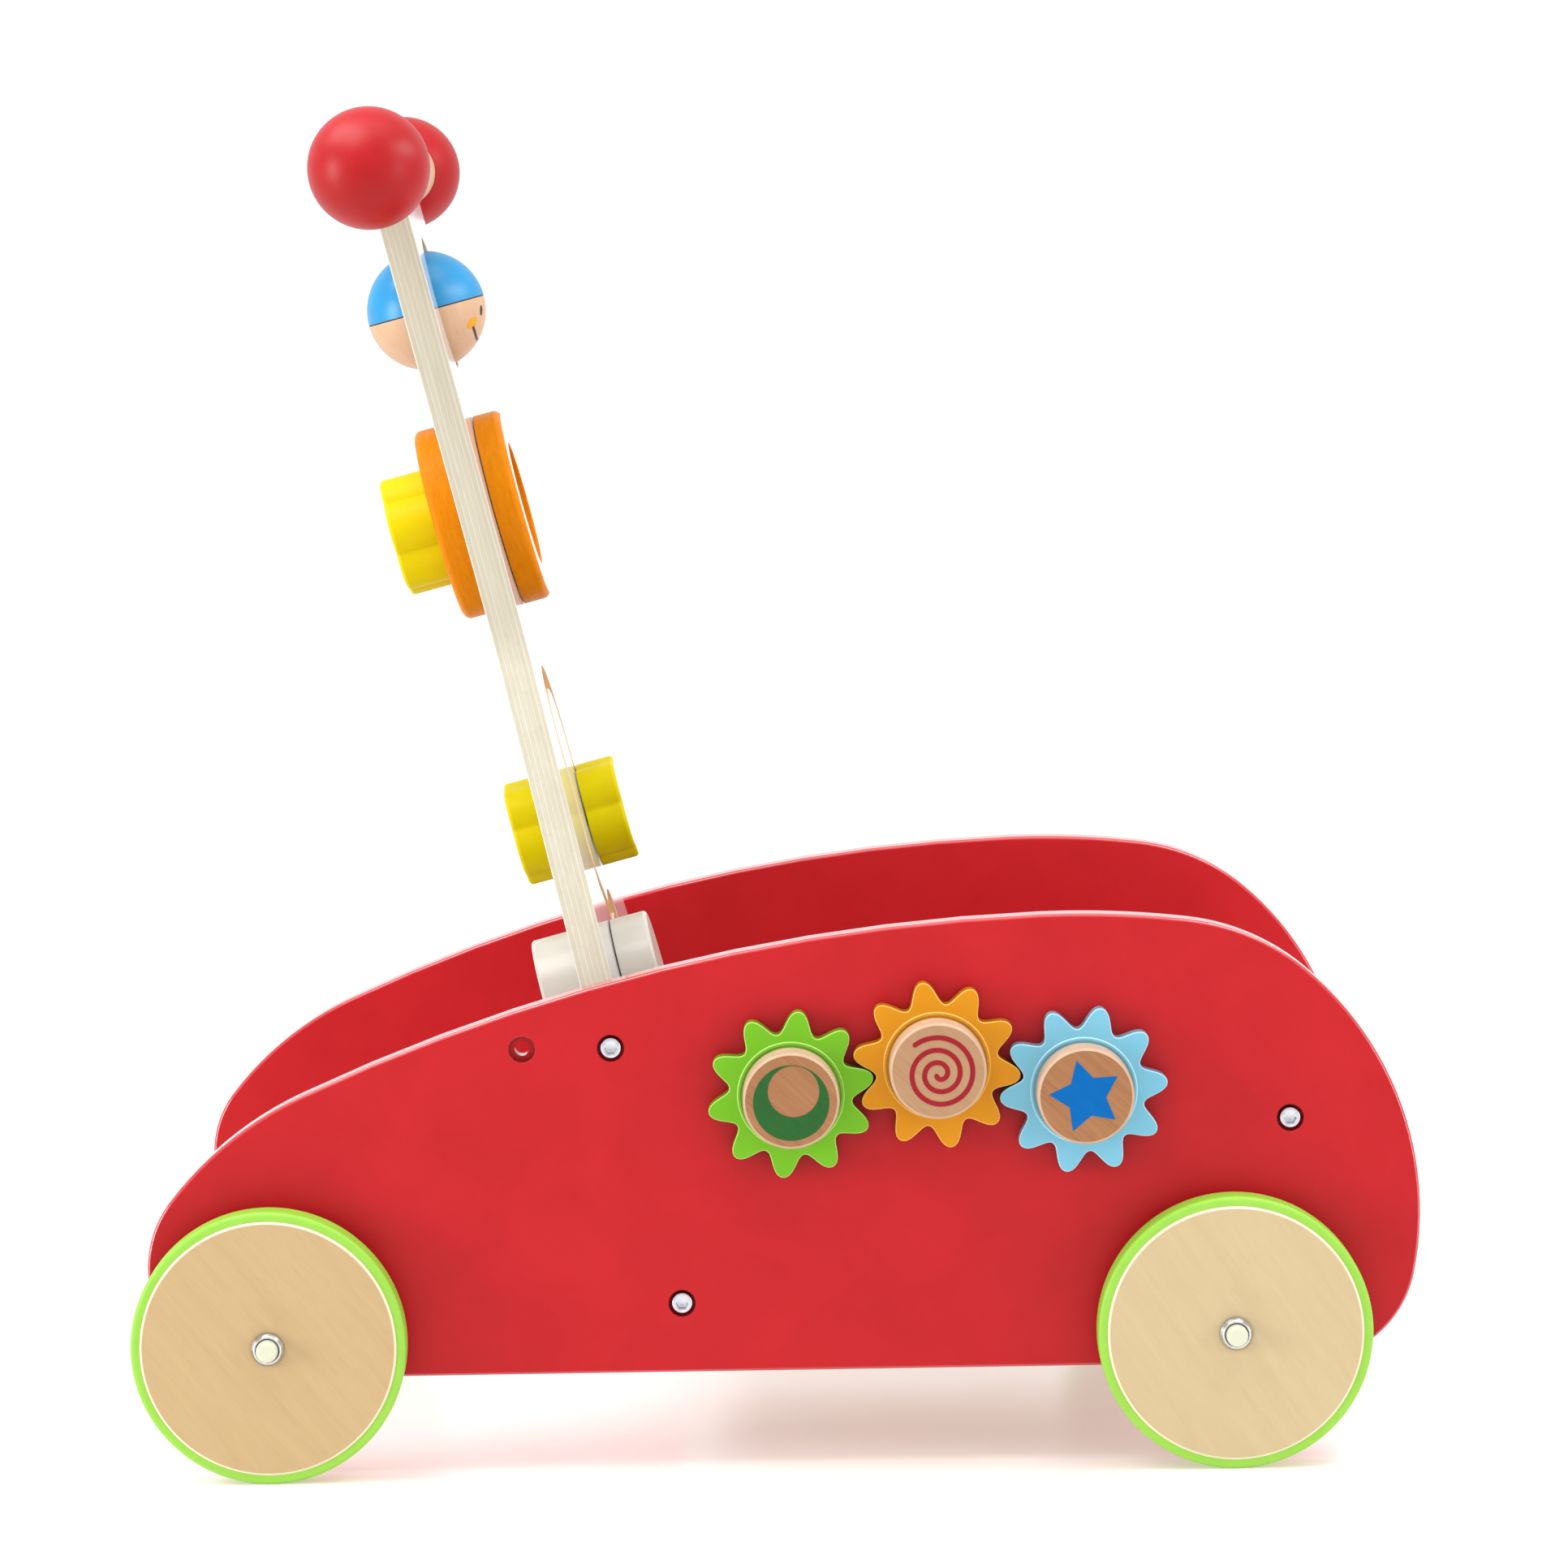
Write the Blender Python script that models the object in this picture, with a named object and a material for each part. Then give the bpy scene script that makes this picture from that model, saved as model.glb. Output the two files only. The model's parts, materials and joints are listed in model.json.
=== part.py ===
"""Wooden push-along baby walker with a block wagon, an activity board and gears.

World frame: metres, +Z up, +X the way the walker rolls, +Y to its left.  The origin is on the
floor, below the middle of the walker's overall length and width.
"""
import math

import bpy
from mathutils import Matrix, Vector

MM = 0.001
RIGHT, LEFT = -1, 1
REAR, FRONT = 0, 1
GAP = 0.3 * MM                    # clearance between pieces that touch
CUT_MARGIN = 5 * MM               # how far a cutter runs past what it cuts
SOCKET_SPARE = 1 * MM             # empty depth left at the bottom of a socket

# Overall layout
WHEELBASE = 351 * MM
REAR_AXLE_X = -185.1 * MM
AXLE_Z = 50 * MM
HALF_WIDTH = 140 * MM             # outer face of a side panel
PANEL_THICKNESS = 12 * MM
PANEL_BOTTOM_Z = 35 * MM
PANEL_CHAMFER = 1.5 * MM
INNER_Y = HALF_WIDTH - PANEL_THICKNESS

# Side panel outline: tangent arcs from the front end of the straight bottom edge, up round
# the nose, over the crest and down round the tail.  Each is (radius, sweep in degrees).
PANEL_START_X = 378.3 * MM        # measured forward of the rear axle
PANEL_ARCS = (
    (40.6 * MM, 78.6),            # front foot
    (117.5 * MM, 60.9),           # nose
    (81.4 * MM, 33.4),            # brow
    (355 * MM, 8.8),              # crest
    (704 * MM, 22.7),             # long back
    (129 * MM, 27.7),             # tail
    (40.7 * MM, 127.9),           # rear foot
)
ARC_STEP = 7.5                    # degrees for each facet of a small arc
ARC_CHORD = 26 * MM               # longest facet of a large arc
MOST_FACETS = 12

# Wheels
WHEEL_RADIUS = 50 * MM
DISC_RADIUS = 46.6 * MM
WHEEL_THICKNESS = 14 * MM
DISC_CHAMFER = 1.2 * MM
TYRE_ROUND = 1.4 * MM
AXLE_RADIUS = 3 * MM
AXLE_BORE = 3.3 * MM
SPACER_RADIUS = 8 * MM
SPACER_LENGTH = 5.4 * MM
WHEEL_INNER = GAP + SPACER_LENGTH + GAP
WHEEL_OUTER = WHEEL_INNER + WHEEL_THICKNESS
WASHER_RADIUS = 6.2 * MM
WASHER_LIP = 5 * MM
WASHER_BORE = 4.3 * MM
WASHER_HEIGHT = 2.6 * MM
CAP_RADIUS = 3.95 * MM
CAP_HEIGHT = 6.6 * MM
CAP_CHAMFER = 1 * MM
CAP_WALL = 2 * MM

# Handle board: a plywood upright that leans back and forms the wagon's rear wall.  Its own
# coordinates are ACROSS (to the walker's left), UP the board and OUT of its front face, from
# the upper pair of bolts.
LEAN = math.radians(14.5)
BOARD_X = 125.6 * MM              # upper bolts, forward of the rear axle
BOARD_Z = 155.1 * MM
BOARD_THICKNESS = 12 * MM
BOARD_FACE = BOARD_THICKNESS / 2
BOARD_HALF_BASE = INNER_Y - GAP
BOARD_BOTTOM = -113 * MM
BOARD_SHOULDER = (61.4 * MM, 146.7 * MM)
BOARD_SHOULDER_CUT = 9 * MM
BOARD_FLARE_TOP = -4 * MM
BOARD_HALF_TOP = 48.9 * MM
BOARD_TOP = 322 * MM
LOWER_BOLT_UP = -97.6 * MM

# Handle
BAR_UP = 330.8 * MM
BAR_RADIUS = 13.5 * MM
BALL_RADIUS = 22.4 * MM
BALL_Y = 110 * MM
BALL_FACE = 18 * MM               # flat on the ball where the bar butts against it
TENON_RADIUS = 7 * MM
TENON_LENGTH = 16 * MM
BALL_SMOOTH = 60                  # edges flatter than this are shaded smooth, degrees

# Spinning head in the round window
WINDOW_UP = 277 * MM
WINDOW_RADIUS = 25.5 * MM
HEAD_UP = 275.4 * MM
HEAD_RADIUS = 22.8 * MM
SPINDLE_RADIUS = 2.5 * MM
SPINDLE_BORE = 2.8 * MM
SPINDLE_SOCKET = 9 * MM

# Click spinner: a disc on each side of the board with a flower knob behind
SPINNER_UP = 194.4 * MM
SPINNER_RADIUS = 37.3 * MM
SPINNER_OFF = 0.7 * MM
FRONT_RING_THICKNESS = 10 * MM
REAR_DISC_THICKNESS = 10.8 * MM
SPINNER_ROUND = 2.8 * MM
SPINNER_EASE = 0.6 * MM           # smaller rounding on the board's side
RECESS_RADIUS = 23.6 * MM
RECESS_DEPTH = 4 * MM
SPINNER_AXLE_RADIUS = 4 * MM
SPINNER_HEAD_RADIUS = 8 * MM
SPINNER_HEAD_FLAT = 7 * MM
SPINNER_HEAD_HEIGHT = 2 * MM
KNOB_GAP = 1.2 * MM
KNOB_THICKNESS = 16.4 * MM
KNOB_PETALS = 6
KNOB_TURN = -8.5                  # a petal's angle from straight across, degrees
KNOB_TIP = 23.3 * MM
VALLEY_SHARE = 0.91               # radius between petals over the radius at their tips
KNOB_SOCKET = 10 * MM

# Slider track: slots through the board, given by their centre lines
SLOT_HALF = 4.5 * MM
ARCH_RADIUS = 27 * MM
UPPER_ARCH_UP = 100.7 * MM
UPPER_LEG_BEND = ((-27 * MM, 62 * MM), (-24 * MM, 50 * MM))
UPPER_LEG_JOINS = 125             # where it meets the lower arch, degrees round that arch
LOWER_ARCH = (17 * MM, 8.2 * MM)
SMALL_ARCH_RADIUS = 11 * MM
SMALL_ARCH_UP = 14 * MM
SHARED_LEG_BOTTOM = 6 * MM
TRACK_BOTTOM = -30 * MM
SLIDER_OFF = 0.8 * MM
PIN_RADIUS = 4.2 * MM
PIN_SOCKET = 8 * MM
FLOWER_AT = (ARCH_RADIUS, 69.3 * MM)
FLOWER_TIP = 20.8 * MM
FLOWER_PETALS = 5
FLOWER_TURN = -10                 # a petal's angle from straight across, degrees
FLOWER_THICKNESS = (14.6 * MM, 16.2 * MM)         # front and rear halves
ROUNDEL_AT = (LOWER_ARCH[0] - ARCH_RADIUS - 2 * SMALL_ARCH_RADIUS, 8.5 * MM)
ROUNDEL_RADIUS = 25 * MM
ROUNDEL_THICKNESS = (13.8 * MM, 18 * MM)
PIECE_ROUND = 2 * MM

# Gears on the right side panel
GEAR_TEETH = 10
GEAR_ROOT = 22.5 * MM
GEAR_TIP = 30.6 * MM
GEAR_SHARPNESS = 1.25             # above 1 makes the valleys wider than the teeth
GEAR_OFF = 1.0 * MM
GEAR_THICKNESS = 7.5 * MM
GEAR_X = 244.1 * MM               # middle gear, forward of the rear axle
GEAR_Z = 148.2 * MM
GEAR_PITCH_X = 53.2 * MM
GEAR_DROP = 10 * MM
GEAR_TOOTH_ANGLE = 27.6           # a tooth of the middle gear, degrees up from +X
BUTTON_RADIUS = 17.5 * MM
BUTTON_HEIGHT = 14.7 * MM
BUTTON_CHAMFER = 1.3 * MM
POST_RADIUS = 2.5 * MM
POST_BORE = 2.8 * MM
POST_HEAD_RADIUS = 6 * MM
POST_HEAD_HEIGHT = 2 * MM
POST_DEPTH = 8 * MM               # how far the post reaches into the button

# Wagon floor and front wall
FLOOR_BOTTOM_Z = 55.6 * MM
FLOOR_THICKNESS = 9 * MM
FLOOR_GROOVE = 3 * MM             # depth of the groove in a side panel
FLOOR_TONGUE = 3 * MM             # thickness of the floor's edge in that groove
FLOOR_REAR_X = 158 * MM
WALL_X = 373 * MM                 # middle of the front wall, forward of the rear axle
WALL_THICKNESS = 12 * MM
WALL_TOP_Z = 146 * MM
WALL_BOTTOM_Z = 45 * MM
WALL_BOLT_Z = (125.6 * MM, 70 * MM)

# Panel bolts, each sunk in a counterbore
BOLT_BORE = 2.8 * MM
BOLT_RADIUS = 2.5 * MM
BOLT_HEAD_RADIUS = 3.9 * MM
BOLT_HEAD_HEIGHT = 3.6 * MM
BOLT_SOCKET = 2.3 * MM            # across corners, halved
BOLT_SOCKET_DEPTH = 2.2 * MM
BOLT_REACH = 24 * MM              # length inside the board or wall
COUNTERBORE_RADIUS = 4.85 * MM
COUNTERBORE_DEPTH = 4.6 * MM
SPARE_HOLE = (93.2 * MM, 155.1 * MM)

# Colours as (red, green, blue), then roughness and metallic
RED = ((0.62, 0.03, 0.04), 0.35, 0.0)
WHITE = ((0.85, 0.84, 0.80), 0.2, 0.0)
BIRCH = ((0.76, 0.56, 0.33), 0.5, 0.0)
BEECH = ((0.70, 0.47, 0.29), 0.5, 0.0)
ORANGE = ((0.87, 0.25, 0.01), 0.4, 0.0)
YELLOW = ((0.78, 0.60, 0.01), 0.4, 0.0)
BLUE = ((0.05, 0.33, 0.75), 0.35, 0.0)
LIME = ((0.35, 0.72, 0.09), 0.5, 0.0)
GREEN_PLASTIC = ((0.20, 0.58, 0.04), 0.25, 0.0)
AMBER_PLASTIC = ((0.80, 0.35, 0.01), 0.25, 0.0)
SKY_PLASTIC = ((0.21, 0.53, 0.72), 0.25, 0.0)
CREAM = ((0.80, 0.80, 0.66), 0.35, 0.0)
STEEL = ((0.62, 0.62, 0.64), 0.25, 1.0)


def clear_scene():
    for obj in list(bpy.data.objects):
        bpy.data.objects.remove(obj, do_unlink=True)


def make_material(name, finish):
    colour, roughness, metallic = finish
    material = bpy.data.materials.new(name)
    material.use_nodes = True
    shader = material.node_tree.nodes["Principled BSDF"]
    shader.inputs["Base Color"].default_value = (*colour, 1.0)
    shader.inputs["Roughness"].default_value = roughness
    shader.inputs["Metallic"].default_value = metallic
    return material


def add_object(name, mesh, finish=None, smooth_angle=35):
    """Link a mesh to the scene; without a finish it is a cutter."""
    obj = bpy.data.objects.new(name, mesh)
    bpy.context.scene.collection.objects.link(obj)
    if finish is None:
        obj.hide_render = True
        obj.display_type = "WIRE"
        return obj
    mesh.materials.append(make_material(name, finish))
    mesh.shade_smooth()
    mesh.set_sharp_from_angle(angle=math.radians(smooth_angle))
    return obj


def mesh_from_rings(name, rings, closed):
    """Skin a stack of point rings; a one-point ring is a tip, and closed joins last to first."""
    points = []
    starts = []
    for ring in rings:
        starts.append(len(points))
        points.extend(ring)
    faces = []
    pairs = list(zip(range(len(rings)), range(1, len(rings))))
    if closed:
        pairs.append((len(rings) - 1, 0))
    for low, high in pairs:
        faces.extend(band(starts[low], len(rings[low]), starts[high], len(rings[high])))
    if not closed and len(rings[0]) > 1:
        faces.append(tuple(reversed(range(starts[0], starts[0] + len(rings[0])))))
    if not closed and len(rings[-1]) > 1:
        faces.append(tuple(range(starts[-1], starts[-1] + len(rings[-1]))))
    mesh = bpy.data.meshes.new(name)
    mesh.from_pydata(points, [], faces)
    mesh.update()
    return mesh


def band(low, low_count, high, high_count):
    """Faces between two rings that turn anticlockwise seen from above."""
    count = max(low_count, high_count)
    faces = []
    for i in range(count):
        j = (i + 1) % count
        if low_count == 1:
            faces.append((low, high + j, high + i))
        elif high_count == 1:
            faces.append((low + i, low + j, high))
        else:
            faces.append((low + i, low + j, high + j, high + i))
    return faces


def circle(radius, count, height=0.0, sides=None):
    """A ring of points; with sides they lie on a polygon of that corner radius."""
    ring = []
    for i in range(count):
        angle = 2 * math.pi * i / count
        reach = radius
        if sides:
            half = math.pi / sides
            reach *= math.cos(half) / math.cos((angle % (2 * half)) - half)
        ring.append((reach * math.cos(angle), reach * math.sin(angle), height))
    return ring


def turned_mesh(name, profile, count, closed=False):
    """Turn (radius, height) points about Z, from the bottom up the outside."""
    rings = []
    for point in profile:
        radius, height = point[:2]
        sides = point[2] if len(point) > 2 else None
        rings.append(circle(radius, count, height, sides) if radius else [(0.0, 0.0, height)])
    return mesh_from_rings(name, rings, closed)


def quarter(radius_out, height, rounding, upward, steps=2):
    """Round-over of an outer edge: profile points towards the face at the given height."""
    points = []
    for i in range(steps + 1):
        angle = math.radians(90 * i / steps)
        inset = rounding * (1 - math.cos(angle))
        rise = rounding * (1 - math.sin(angle))
        points.append((radius_out - inset, height - rise if upward else height + rise))
    return points if upward else list(reversed(points))


def rounded_ring(bore, radius, low, high, low_round, high_round, steps=2):
    """Closed profile of a ring or bored disc with rounded outer edges."""
    outer = quarter(radius, low, low_round, False, steps)
    outer += quarter(radius, high, high_round, True, steps)
    return [(bore, low)] + outer + [(bore, high)]


def prism_mesh(name, outline, low, high, rounding=0.0, bore=None, bore_count=None):
    """Extrude outline(inset) along Z, with its outer edges eased by rounding."""
    levels = [(low, rounding), (high, rounding)]
    if rounding:
        levels = [(low, rounding), (low + rounding, 0.0), (high - rounding, 0.0), (high, rounding)]
    rings = [[(x, y, z) for x, y in outline(inset)] for z, inset in levels]
    if bore is None:
        return mesh_from_rings(name, rings, closed=False)
    count = len(rings[0])
    rings = [circle(bore, count, low)] + rings + [circle(bore, count, high)]
    return mesh_from_rings(name, rings, closed=True)


def box_mesh(name, low, high):
    corners = [(low[0], low[1]), (high[0], low[1]), (high[0], high[1]), (low[0], high[1])]
    return prism_mesh(name, lambda inset: corners, low[2], high[2])


def panel_outline(inset):
    """Side panel outline in (forward of rear axle, up), anticlockwise."""
    x = PANEL_START_X
    z = PANEL_BOTTOM_Z + inset
    heading = 0.0
    points = [(x, z)]
    for radius, sweep in PANEL_ARCS:
        reach = radius - inset
        facets = max(round(sweep / ARC_STEP), round(math.radians(sweep) * radius / ARC_CHORD))
        facets = min(facets, MOST_FACETS)
        for _ in range(facets):
            turn = math.radians(sweep / facets)
            x += reach * (math.sin(heading + turn) - math.sin(heading))
            z += reach * (math.cos(heading) - math.cos(heading + turn))
            heading += turn
            points.append((x, z))
    return points


def flower_outline(tip, petals, turn, points_each=8):
    """Petal ring as a function of its inset; one petal is turned that many degrees from +X."""
    half = math.pi / petals
    valley = VALLEY_SHARE * tip
    centre = (tip ** 2 - valley ** 2) / (2 * (tip - valley * math.cos(half)))

    def outline(inset):
        reach = tip - centre - inset
        # A petal's arc ends on the line half way to the next petal.
        end = half + math.asin(centre * math.sin(half) / reach)
        points = []
        for k in range(petals):
            base = math.radians(turn) + 2 * half * k
            for i in range(points_each):
                swing = end * (2 * i / points_each - 1)
                points.append((centre * math.cos(base) + reach * math.cos(base + swing),
                               centre * math.sin(base) + reach * math.sin(base + swing)))
        return points

    return outline


def gear_outline(tooth_angle, points_each=8):
    """Rounded gear teeth; one tooth is centred on tooth_angle, in degrees."""

    def outline(inset):
        points = []
        count = GEAR_TEETH * points_each
        for i in range(count):
            phase = 2 * math.pi * i / points_each
            lift = (0.5 + 0.5 * math.cos(phase)) ** GEAR_SHARPNESS
            reach = GEAR_ROOT + (GEAR_TIP - GEAR_ROOT) * lift - inset
            angle = math.radians(tooth_angle) + 2 * math.pi * i / count
            points.append((reach * math.cos(angle), reach * math.sin(angle)))
        return points

    return outline


def board_outline(inset):
    """Right half of the handle board from bottom to top, then its mirror image."""
    shoulder_x, shoulder_up = BOARD_SHOULDER
    cut = BOARD_SHOULDER_CUT
    flare = Vector((BOARD_HALF_BASE - shoulder_x, BOARD_FLARE_TOP - shoulder_up)).normalized()
    neck = Vector((BOARD_HALF_TOP - shoulder_x, BOARD_TOP - shoulder_up)).normalized()
    corner = Vector(BOARD_SHOULDER)
    ease = (corner + cut * flare + corner + cut * neck + 2 * corner) / 4
    half = [
        (BOARD_HALF_BASE, BOARD_BOTTOM),
        (BOARD_HALF_BASE, BOARD_FLARE_TOP),
        tuple(corner + cut * flare),
        tuple(ease),
        tuple(corner + cut * neck),
        (BOARD_HALF_TOP, BOARD_TOP),
    ]
    return half + [(-x, y) for x, y in reversed(half)]


def slot_outline(centre_line, half_width=SLOT_HALF, end_facets=6):
    """A slot of constant width with round ends, along a centre line of points."""
    line = [Vector(point) for point in centre_line]
    normals = []
    for i, point in enumerate(line):
        ahead = line[min(i + 1, len(line) - 1)] - line[max(i - 1, 0)]
        ahead.normalize()
        normals.append(Vector((ahead.y, -ahead.x)))
    right = [p + half_width * n for p, n in zip(line, normals)]
    left = [p - half_width * n for p, n in zip(line, normals)]
    end = round_end(line[-1], normals[-1], half_width, end_facets)
    start = round_end(line[0], -normals[0], half_width, end_facets)
    points = right + end + list(reversed(left)) + start
    return lambda inset: [tuple(point) for point in points]


def round_end(centre, from_normal, radius, facets):
    start = math.atan2(from_normal.y, from_normal.x)
    angles = [start + math.pi * i / facets for i in range(1, facets)]
    return [centre + radius * Vector((math.cos(a), math.sin(a))) for a in angles]


def arc_points(centre, radius, start, end, facets):
    """Points on an arc between two angles in degrees."""
    angles = [math.radians(start + (end - start) * i / facets) for i in range(facets + 1)]
    return [(centre[0] + radius * math.cos(a), centre[1] + radius * math.sin(a)) for a in angles]


def track_lines():
    """Centre lines of the slots that the two sliders run in."""
    arch = arc_points((0.0, UPPER_ARCH_UP), ARCH_RADIUS, 0, 180, 16)
    joint = arc_points(LOWER_ARCH, ARCH_RADIUS, 180, UPPER_LEG_JOINS, 6)[-1]
    upper = [FLOWER_AT, *arch, *UPPER_LEG_BEND, joint]
    lower = arc_points(LOWER_ARCH, ARCH_RADIUS, 180, 0, 16)
    lower.append((LOWER_ARCH[0] + ARCH_RADIUS, TRACK_BOTTOM))
    small_centre = (ROUNDEL_AT[0] + SMALL_ARCH_RADIUS, SMALL_ARCH_UP)
    small = [(ROUNDEL_AT[0], TRACK_BOTTOM)]
    small += arc_points(small_centre, SMALL_ARCH_RADIUS, 180, 0, 12)
    small.append((small_centre[0] + SMALL_ARCH_RADIUS, SHARED_LEG_BOTTOM))
    return {"upper": upper, "lower": lower, "small": small}


def cut(obj, cutter):
    modifier = obj.modifiers.new(cutter.name, "BOOLEAN")
    modifier.operation = "DIFFERENCE"
    modifier.solver = "EXACT"
    modifier.object = cutter


def forward(distance):
    """World X of a point measured forward of the rear axle."""
    return REAR_AXLE_X + distance


def side_matrix(side, ahead, up, outward=0.0):
    """Frame on a side panel's outer face, whose Z points away from the walker."""
    turn = Matrix.Rotation(-side * math.pi / 2, 4, "X")
    return Matrix.Translation((forward(ahead), side * (HALF_WIDTH + outward), up)) @ turn


def board_frame():
    """Empty on the board's middle plane: X across, Y up the board, Z out of its front."""
    frame = bpy.data.objects.new("board_frame", None)
    bpy.context.scene.collection.objects.link(frame)
    across = Vector((0, 1, 0))
    up = Vector((-math.sin(LEAN), 0, math.cos(LEAN)))
    out = across.cross(up)
    basis = Matrix((across, up, out)).transposed().to_4x4()
    frame.matrix_world = Matrix.Translation((forward(BOARD_X), 0, BOARD_Z)) @ basis
    return frame


def on_board(obj, frame, across=0.0, up=0.0, out=0.0, flip=False, along_up=False):
    """Parent to the board; flip faces backwards, along_up lays the object's Z up the board."""
    obj.parent = frame
    obj.location = (across, up, out)
    if flip:
        obj.rotation_euler = (0, math.pi, 0)
    if along_up:
        obj.rotation_euler = (-math.pi / 2, 0, 0)
    return obj


def side_name(side):
    return "right" if side == RIGHT else "left"


def bolt_places():
    """Panel bolts as name: (ahead of the rear axle, up)."""
    lower_ahead = BOARD_X - LOWER_BOLT_UP * math.sin(LEAN)
    lower_up = BOARD_Z + LOWER_BOLT_UP * math.cos(LEAN)
    return {
        "board_upper": (BOARD_X, BOARD_Z),
        "board_lower": (lower_ahead, lower_up),
        "wall_upper": (WALL_X, WALL_BOLT_Z[0]),
        "wall_lower": (WALL_X, WALL_BOLT_Z[1]),
    }


def rod_mesh(name, radius, low, high, count):
    """Plain cylinder along Z."""
    return turned_mesh(name, [(0, low), (radius, low), (radius, high), (0, high)], count)


def bore_cutter(name, side, ahead, up, radius, depth_in, depth_out, count=12):
    """Cylinder square to a side panel, from depth_in inside its face to depth_out outside."""
    cutter = add_object(name, rod_mesh(name, radius, -depth_in, depth_out, count))
    cutter.matrix_world = side_matrix(side, ahead, up)
    return cutter


def build_side_panel(side):
    name = side_name(side) + "_side_panel"
    mesh = prism_mesh(name, panel_outline, 0, PANEL_THICKNESS, PANEL_CHAMFER)
    panel = add_object(name, mesh, RED)
    inner_first = Matrix.Rotation(math.pi / 2, 4, "X")
    offset = HALF_WIDTH if side == LEFT else -INNER_Y
    panel.matrix_world = Matrix.Translation((REAR_AXLE_X, offset, 0)) @ inner_first
    through = PANEL_THICKNESS + CUT_MARGIN
    holes = dict(bolt_places(), spare=SPARE_HOLE)
    for label, (ahead, up) in holes.items():
        bore_name = f"{name}_{label}"
        cut(panel, bore_cutter(bore_name + "_bore", side, ahead, up, BOLT_BORE, through, CUT_MARGIN))
        cut(panel, bore_cutter(bore_name + "_sink", side, ahead, up,
                               COUNTERBORE_RADIUS, COUNTERBORE_DEPTH, CUT_MARGIN, 16))
    for label, ahead in (("rear_axle", 0.0), ("front_axle", WHEELBASE)):
        bore_name = f"{name}_{label}_bore"
        cut(panel, bore_cutter(bore_name, side, ahead, AXLE_Z, AXLE_BORE, through, CUT_MARGIN))
    if side == RIGHT:
        for label, (ahead, up, _) in gear_places().items():
            bore_name = f"{name}_{label}_bore"
            cut(panel, bore_cutter(bore_name, side, ahead, up, POST_BORE, through, CUT_MARGIN))
    cut(panel, floor_groove(name, side))
    return panel


def floor_groove(name, side):
    """Slot in a panel's inner face that the floor's edge sits in."""
    inner = side * (INNER_Y - CUT_MARGIN)
    outer = side * (INNER_Y + FLOOR_GROOVE)
    low_y, high_y = sorted((inner, outer))
    half = FLOOR_TONGUE / 2 + GAP
    middle = FLOOR_BOTTOM_Z + FLOOR_THICKNESS / 2
    low = (forward(FLOOR_REAR_X) - GAP, low_y, middle - half)
    high = (forward(WALL_X - WALL_THICKNESS / 2), high_y, middle + half)
    return add_object(name + "_floor_groove", box_mesh("groove", low, high))


def floor_section():
    """Right half of the floor's section from bottom to top, then its mirror image."""
    inner = INNER_Y - GAP
    reach = inner + FLOOR_GROOVE
    top = FLOOR_THICKNESS / 2
    tongue = FLOOR_TONGUE / 2
    half = [(inner, -top), (inner, -tongue), (reach, -tongue),
            (reach, tongue), (inner, tongue), (inner, top)]
    return half + [(-y, z) for y, z in reversed(half)]


def build_wagon():
    front = forward(WALL_X - WALL_THICKNESS / 2) - GAP
    mesh = prism_mesh("floor_panel", lambda inset: floor_section(), forward(FLOOR_REAR_X), front)
    floor = add_object("floor_panel", mesh, BIRCH)
    along = Matrix(((0, 0, 1), (1, 0, 0), (0, 1, 0))).to_4x4()
    floor.matrix_world = Matrix.Translation((0, 0, FLOOR_BOTTOM_Z + FLOOR_THICKNESS / 2)) @ along
    low = (forward(WALL_X - WALL_THICKNESS / 2), -INNER_Y + GAP, WALL_BOTTOM_Z)
    high = (forward(WALL_X + WALL_THICKNESS / 2), INNER_Y - GAP, WALL_TOP_Z)
    wall = add_object("front_wall", box_mesh("front_wall", low, high), WHITE)
    places = bolt_places()
    for side in (RIGHT, LEFT):
        for label in ("wall_upper", "wall_lower"):
            cut(wall, bolt_hole(side, places[label], "front_" + label))
    return wall


def bolt_hole(side, place, label):
    """Blind hole for a bolt's thread, reaching in from the side."""
    name = f"{side_name(side)}_{label}_hole"
    return bore_cutter(name, side, *place, BOLT_BORE, PANEL_THICKNESS + BOLT_REACH + SOCKET_SPARE, 0)


def build_bolts():
    tip = COUNTERBORE_DEPTH - PANEL_THICKNESS - BOLT_REACH
    top = BOLT_HEAD_HEIGHT
    floor = top - BOLT_SOCKET_DEPTH
    profile = [(0, tip), (BOLT_RADIUS, tip), (BOLT_RADIUS, 0), (BOLT_HEAD_RADIUS, 0),
               (BOLT_HEAD_RADIUS, top), (BOLT_SOCKET, top, 6), (BOLT_SOCKET, floor, 6), (0, floor)]
    for side in (RIGHT, LEFT):
        for label, (ahead, up) in bolt_places().items():
            name = f"{side_name(side)}_{label}_bolt"
            bolt = add_object(name, turned_mesh(name, profile, 12), STEEL)
            bolt.matrix_world = side_matrix(side, ahead, up, GAP - COUNTERBORE_DEPTH)


def build_board(frame):
    mesh = prism_mesh("handle_board", board_outline, -BOARD_FACE, BOARD_FACE)
    board = on_board(add_object("handle_board", mesh, WHITE), frame)
    deep = BOARD_FACE + CUT_MARGIN
    rounds = (
        ("board_window", WINDOW_UP, WINDOW_RADIUS, 40),
        ("board_spinner_hole", SPINNER_UP, SPINNER_AXLE_RADIUS + GAP, 16),
    )
    for name, up, radius, count in rounds:
        cut(board, on_board(add_object(name, rod_mesh(name, radius, -deep, deep, count)), frame, 0, up))
    for label, line in track_lines().items():
        name = f"board_{label}_slot"
        mesh = prism_mesh(name, slot_outline(line), -deep, deep)
        cut(board, on_board(add_object(name, mesh), frame))
    cut(board, saddle_cutter(frame))
    cut(board, spindle_socket_cutter(frame))
    for side in (RIGHT, LEFT):
        for label in ("board_upper", "board_lower"):
            cut(board, bolt_hole(side, bolt_places()[label], label))
    return board


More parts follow.
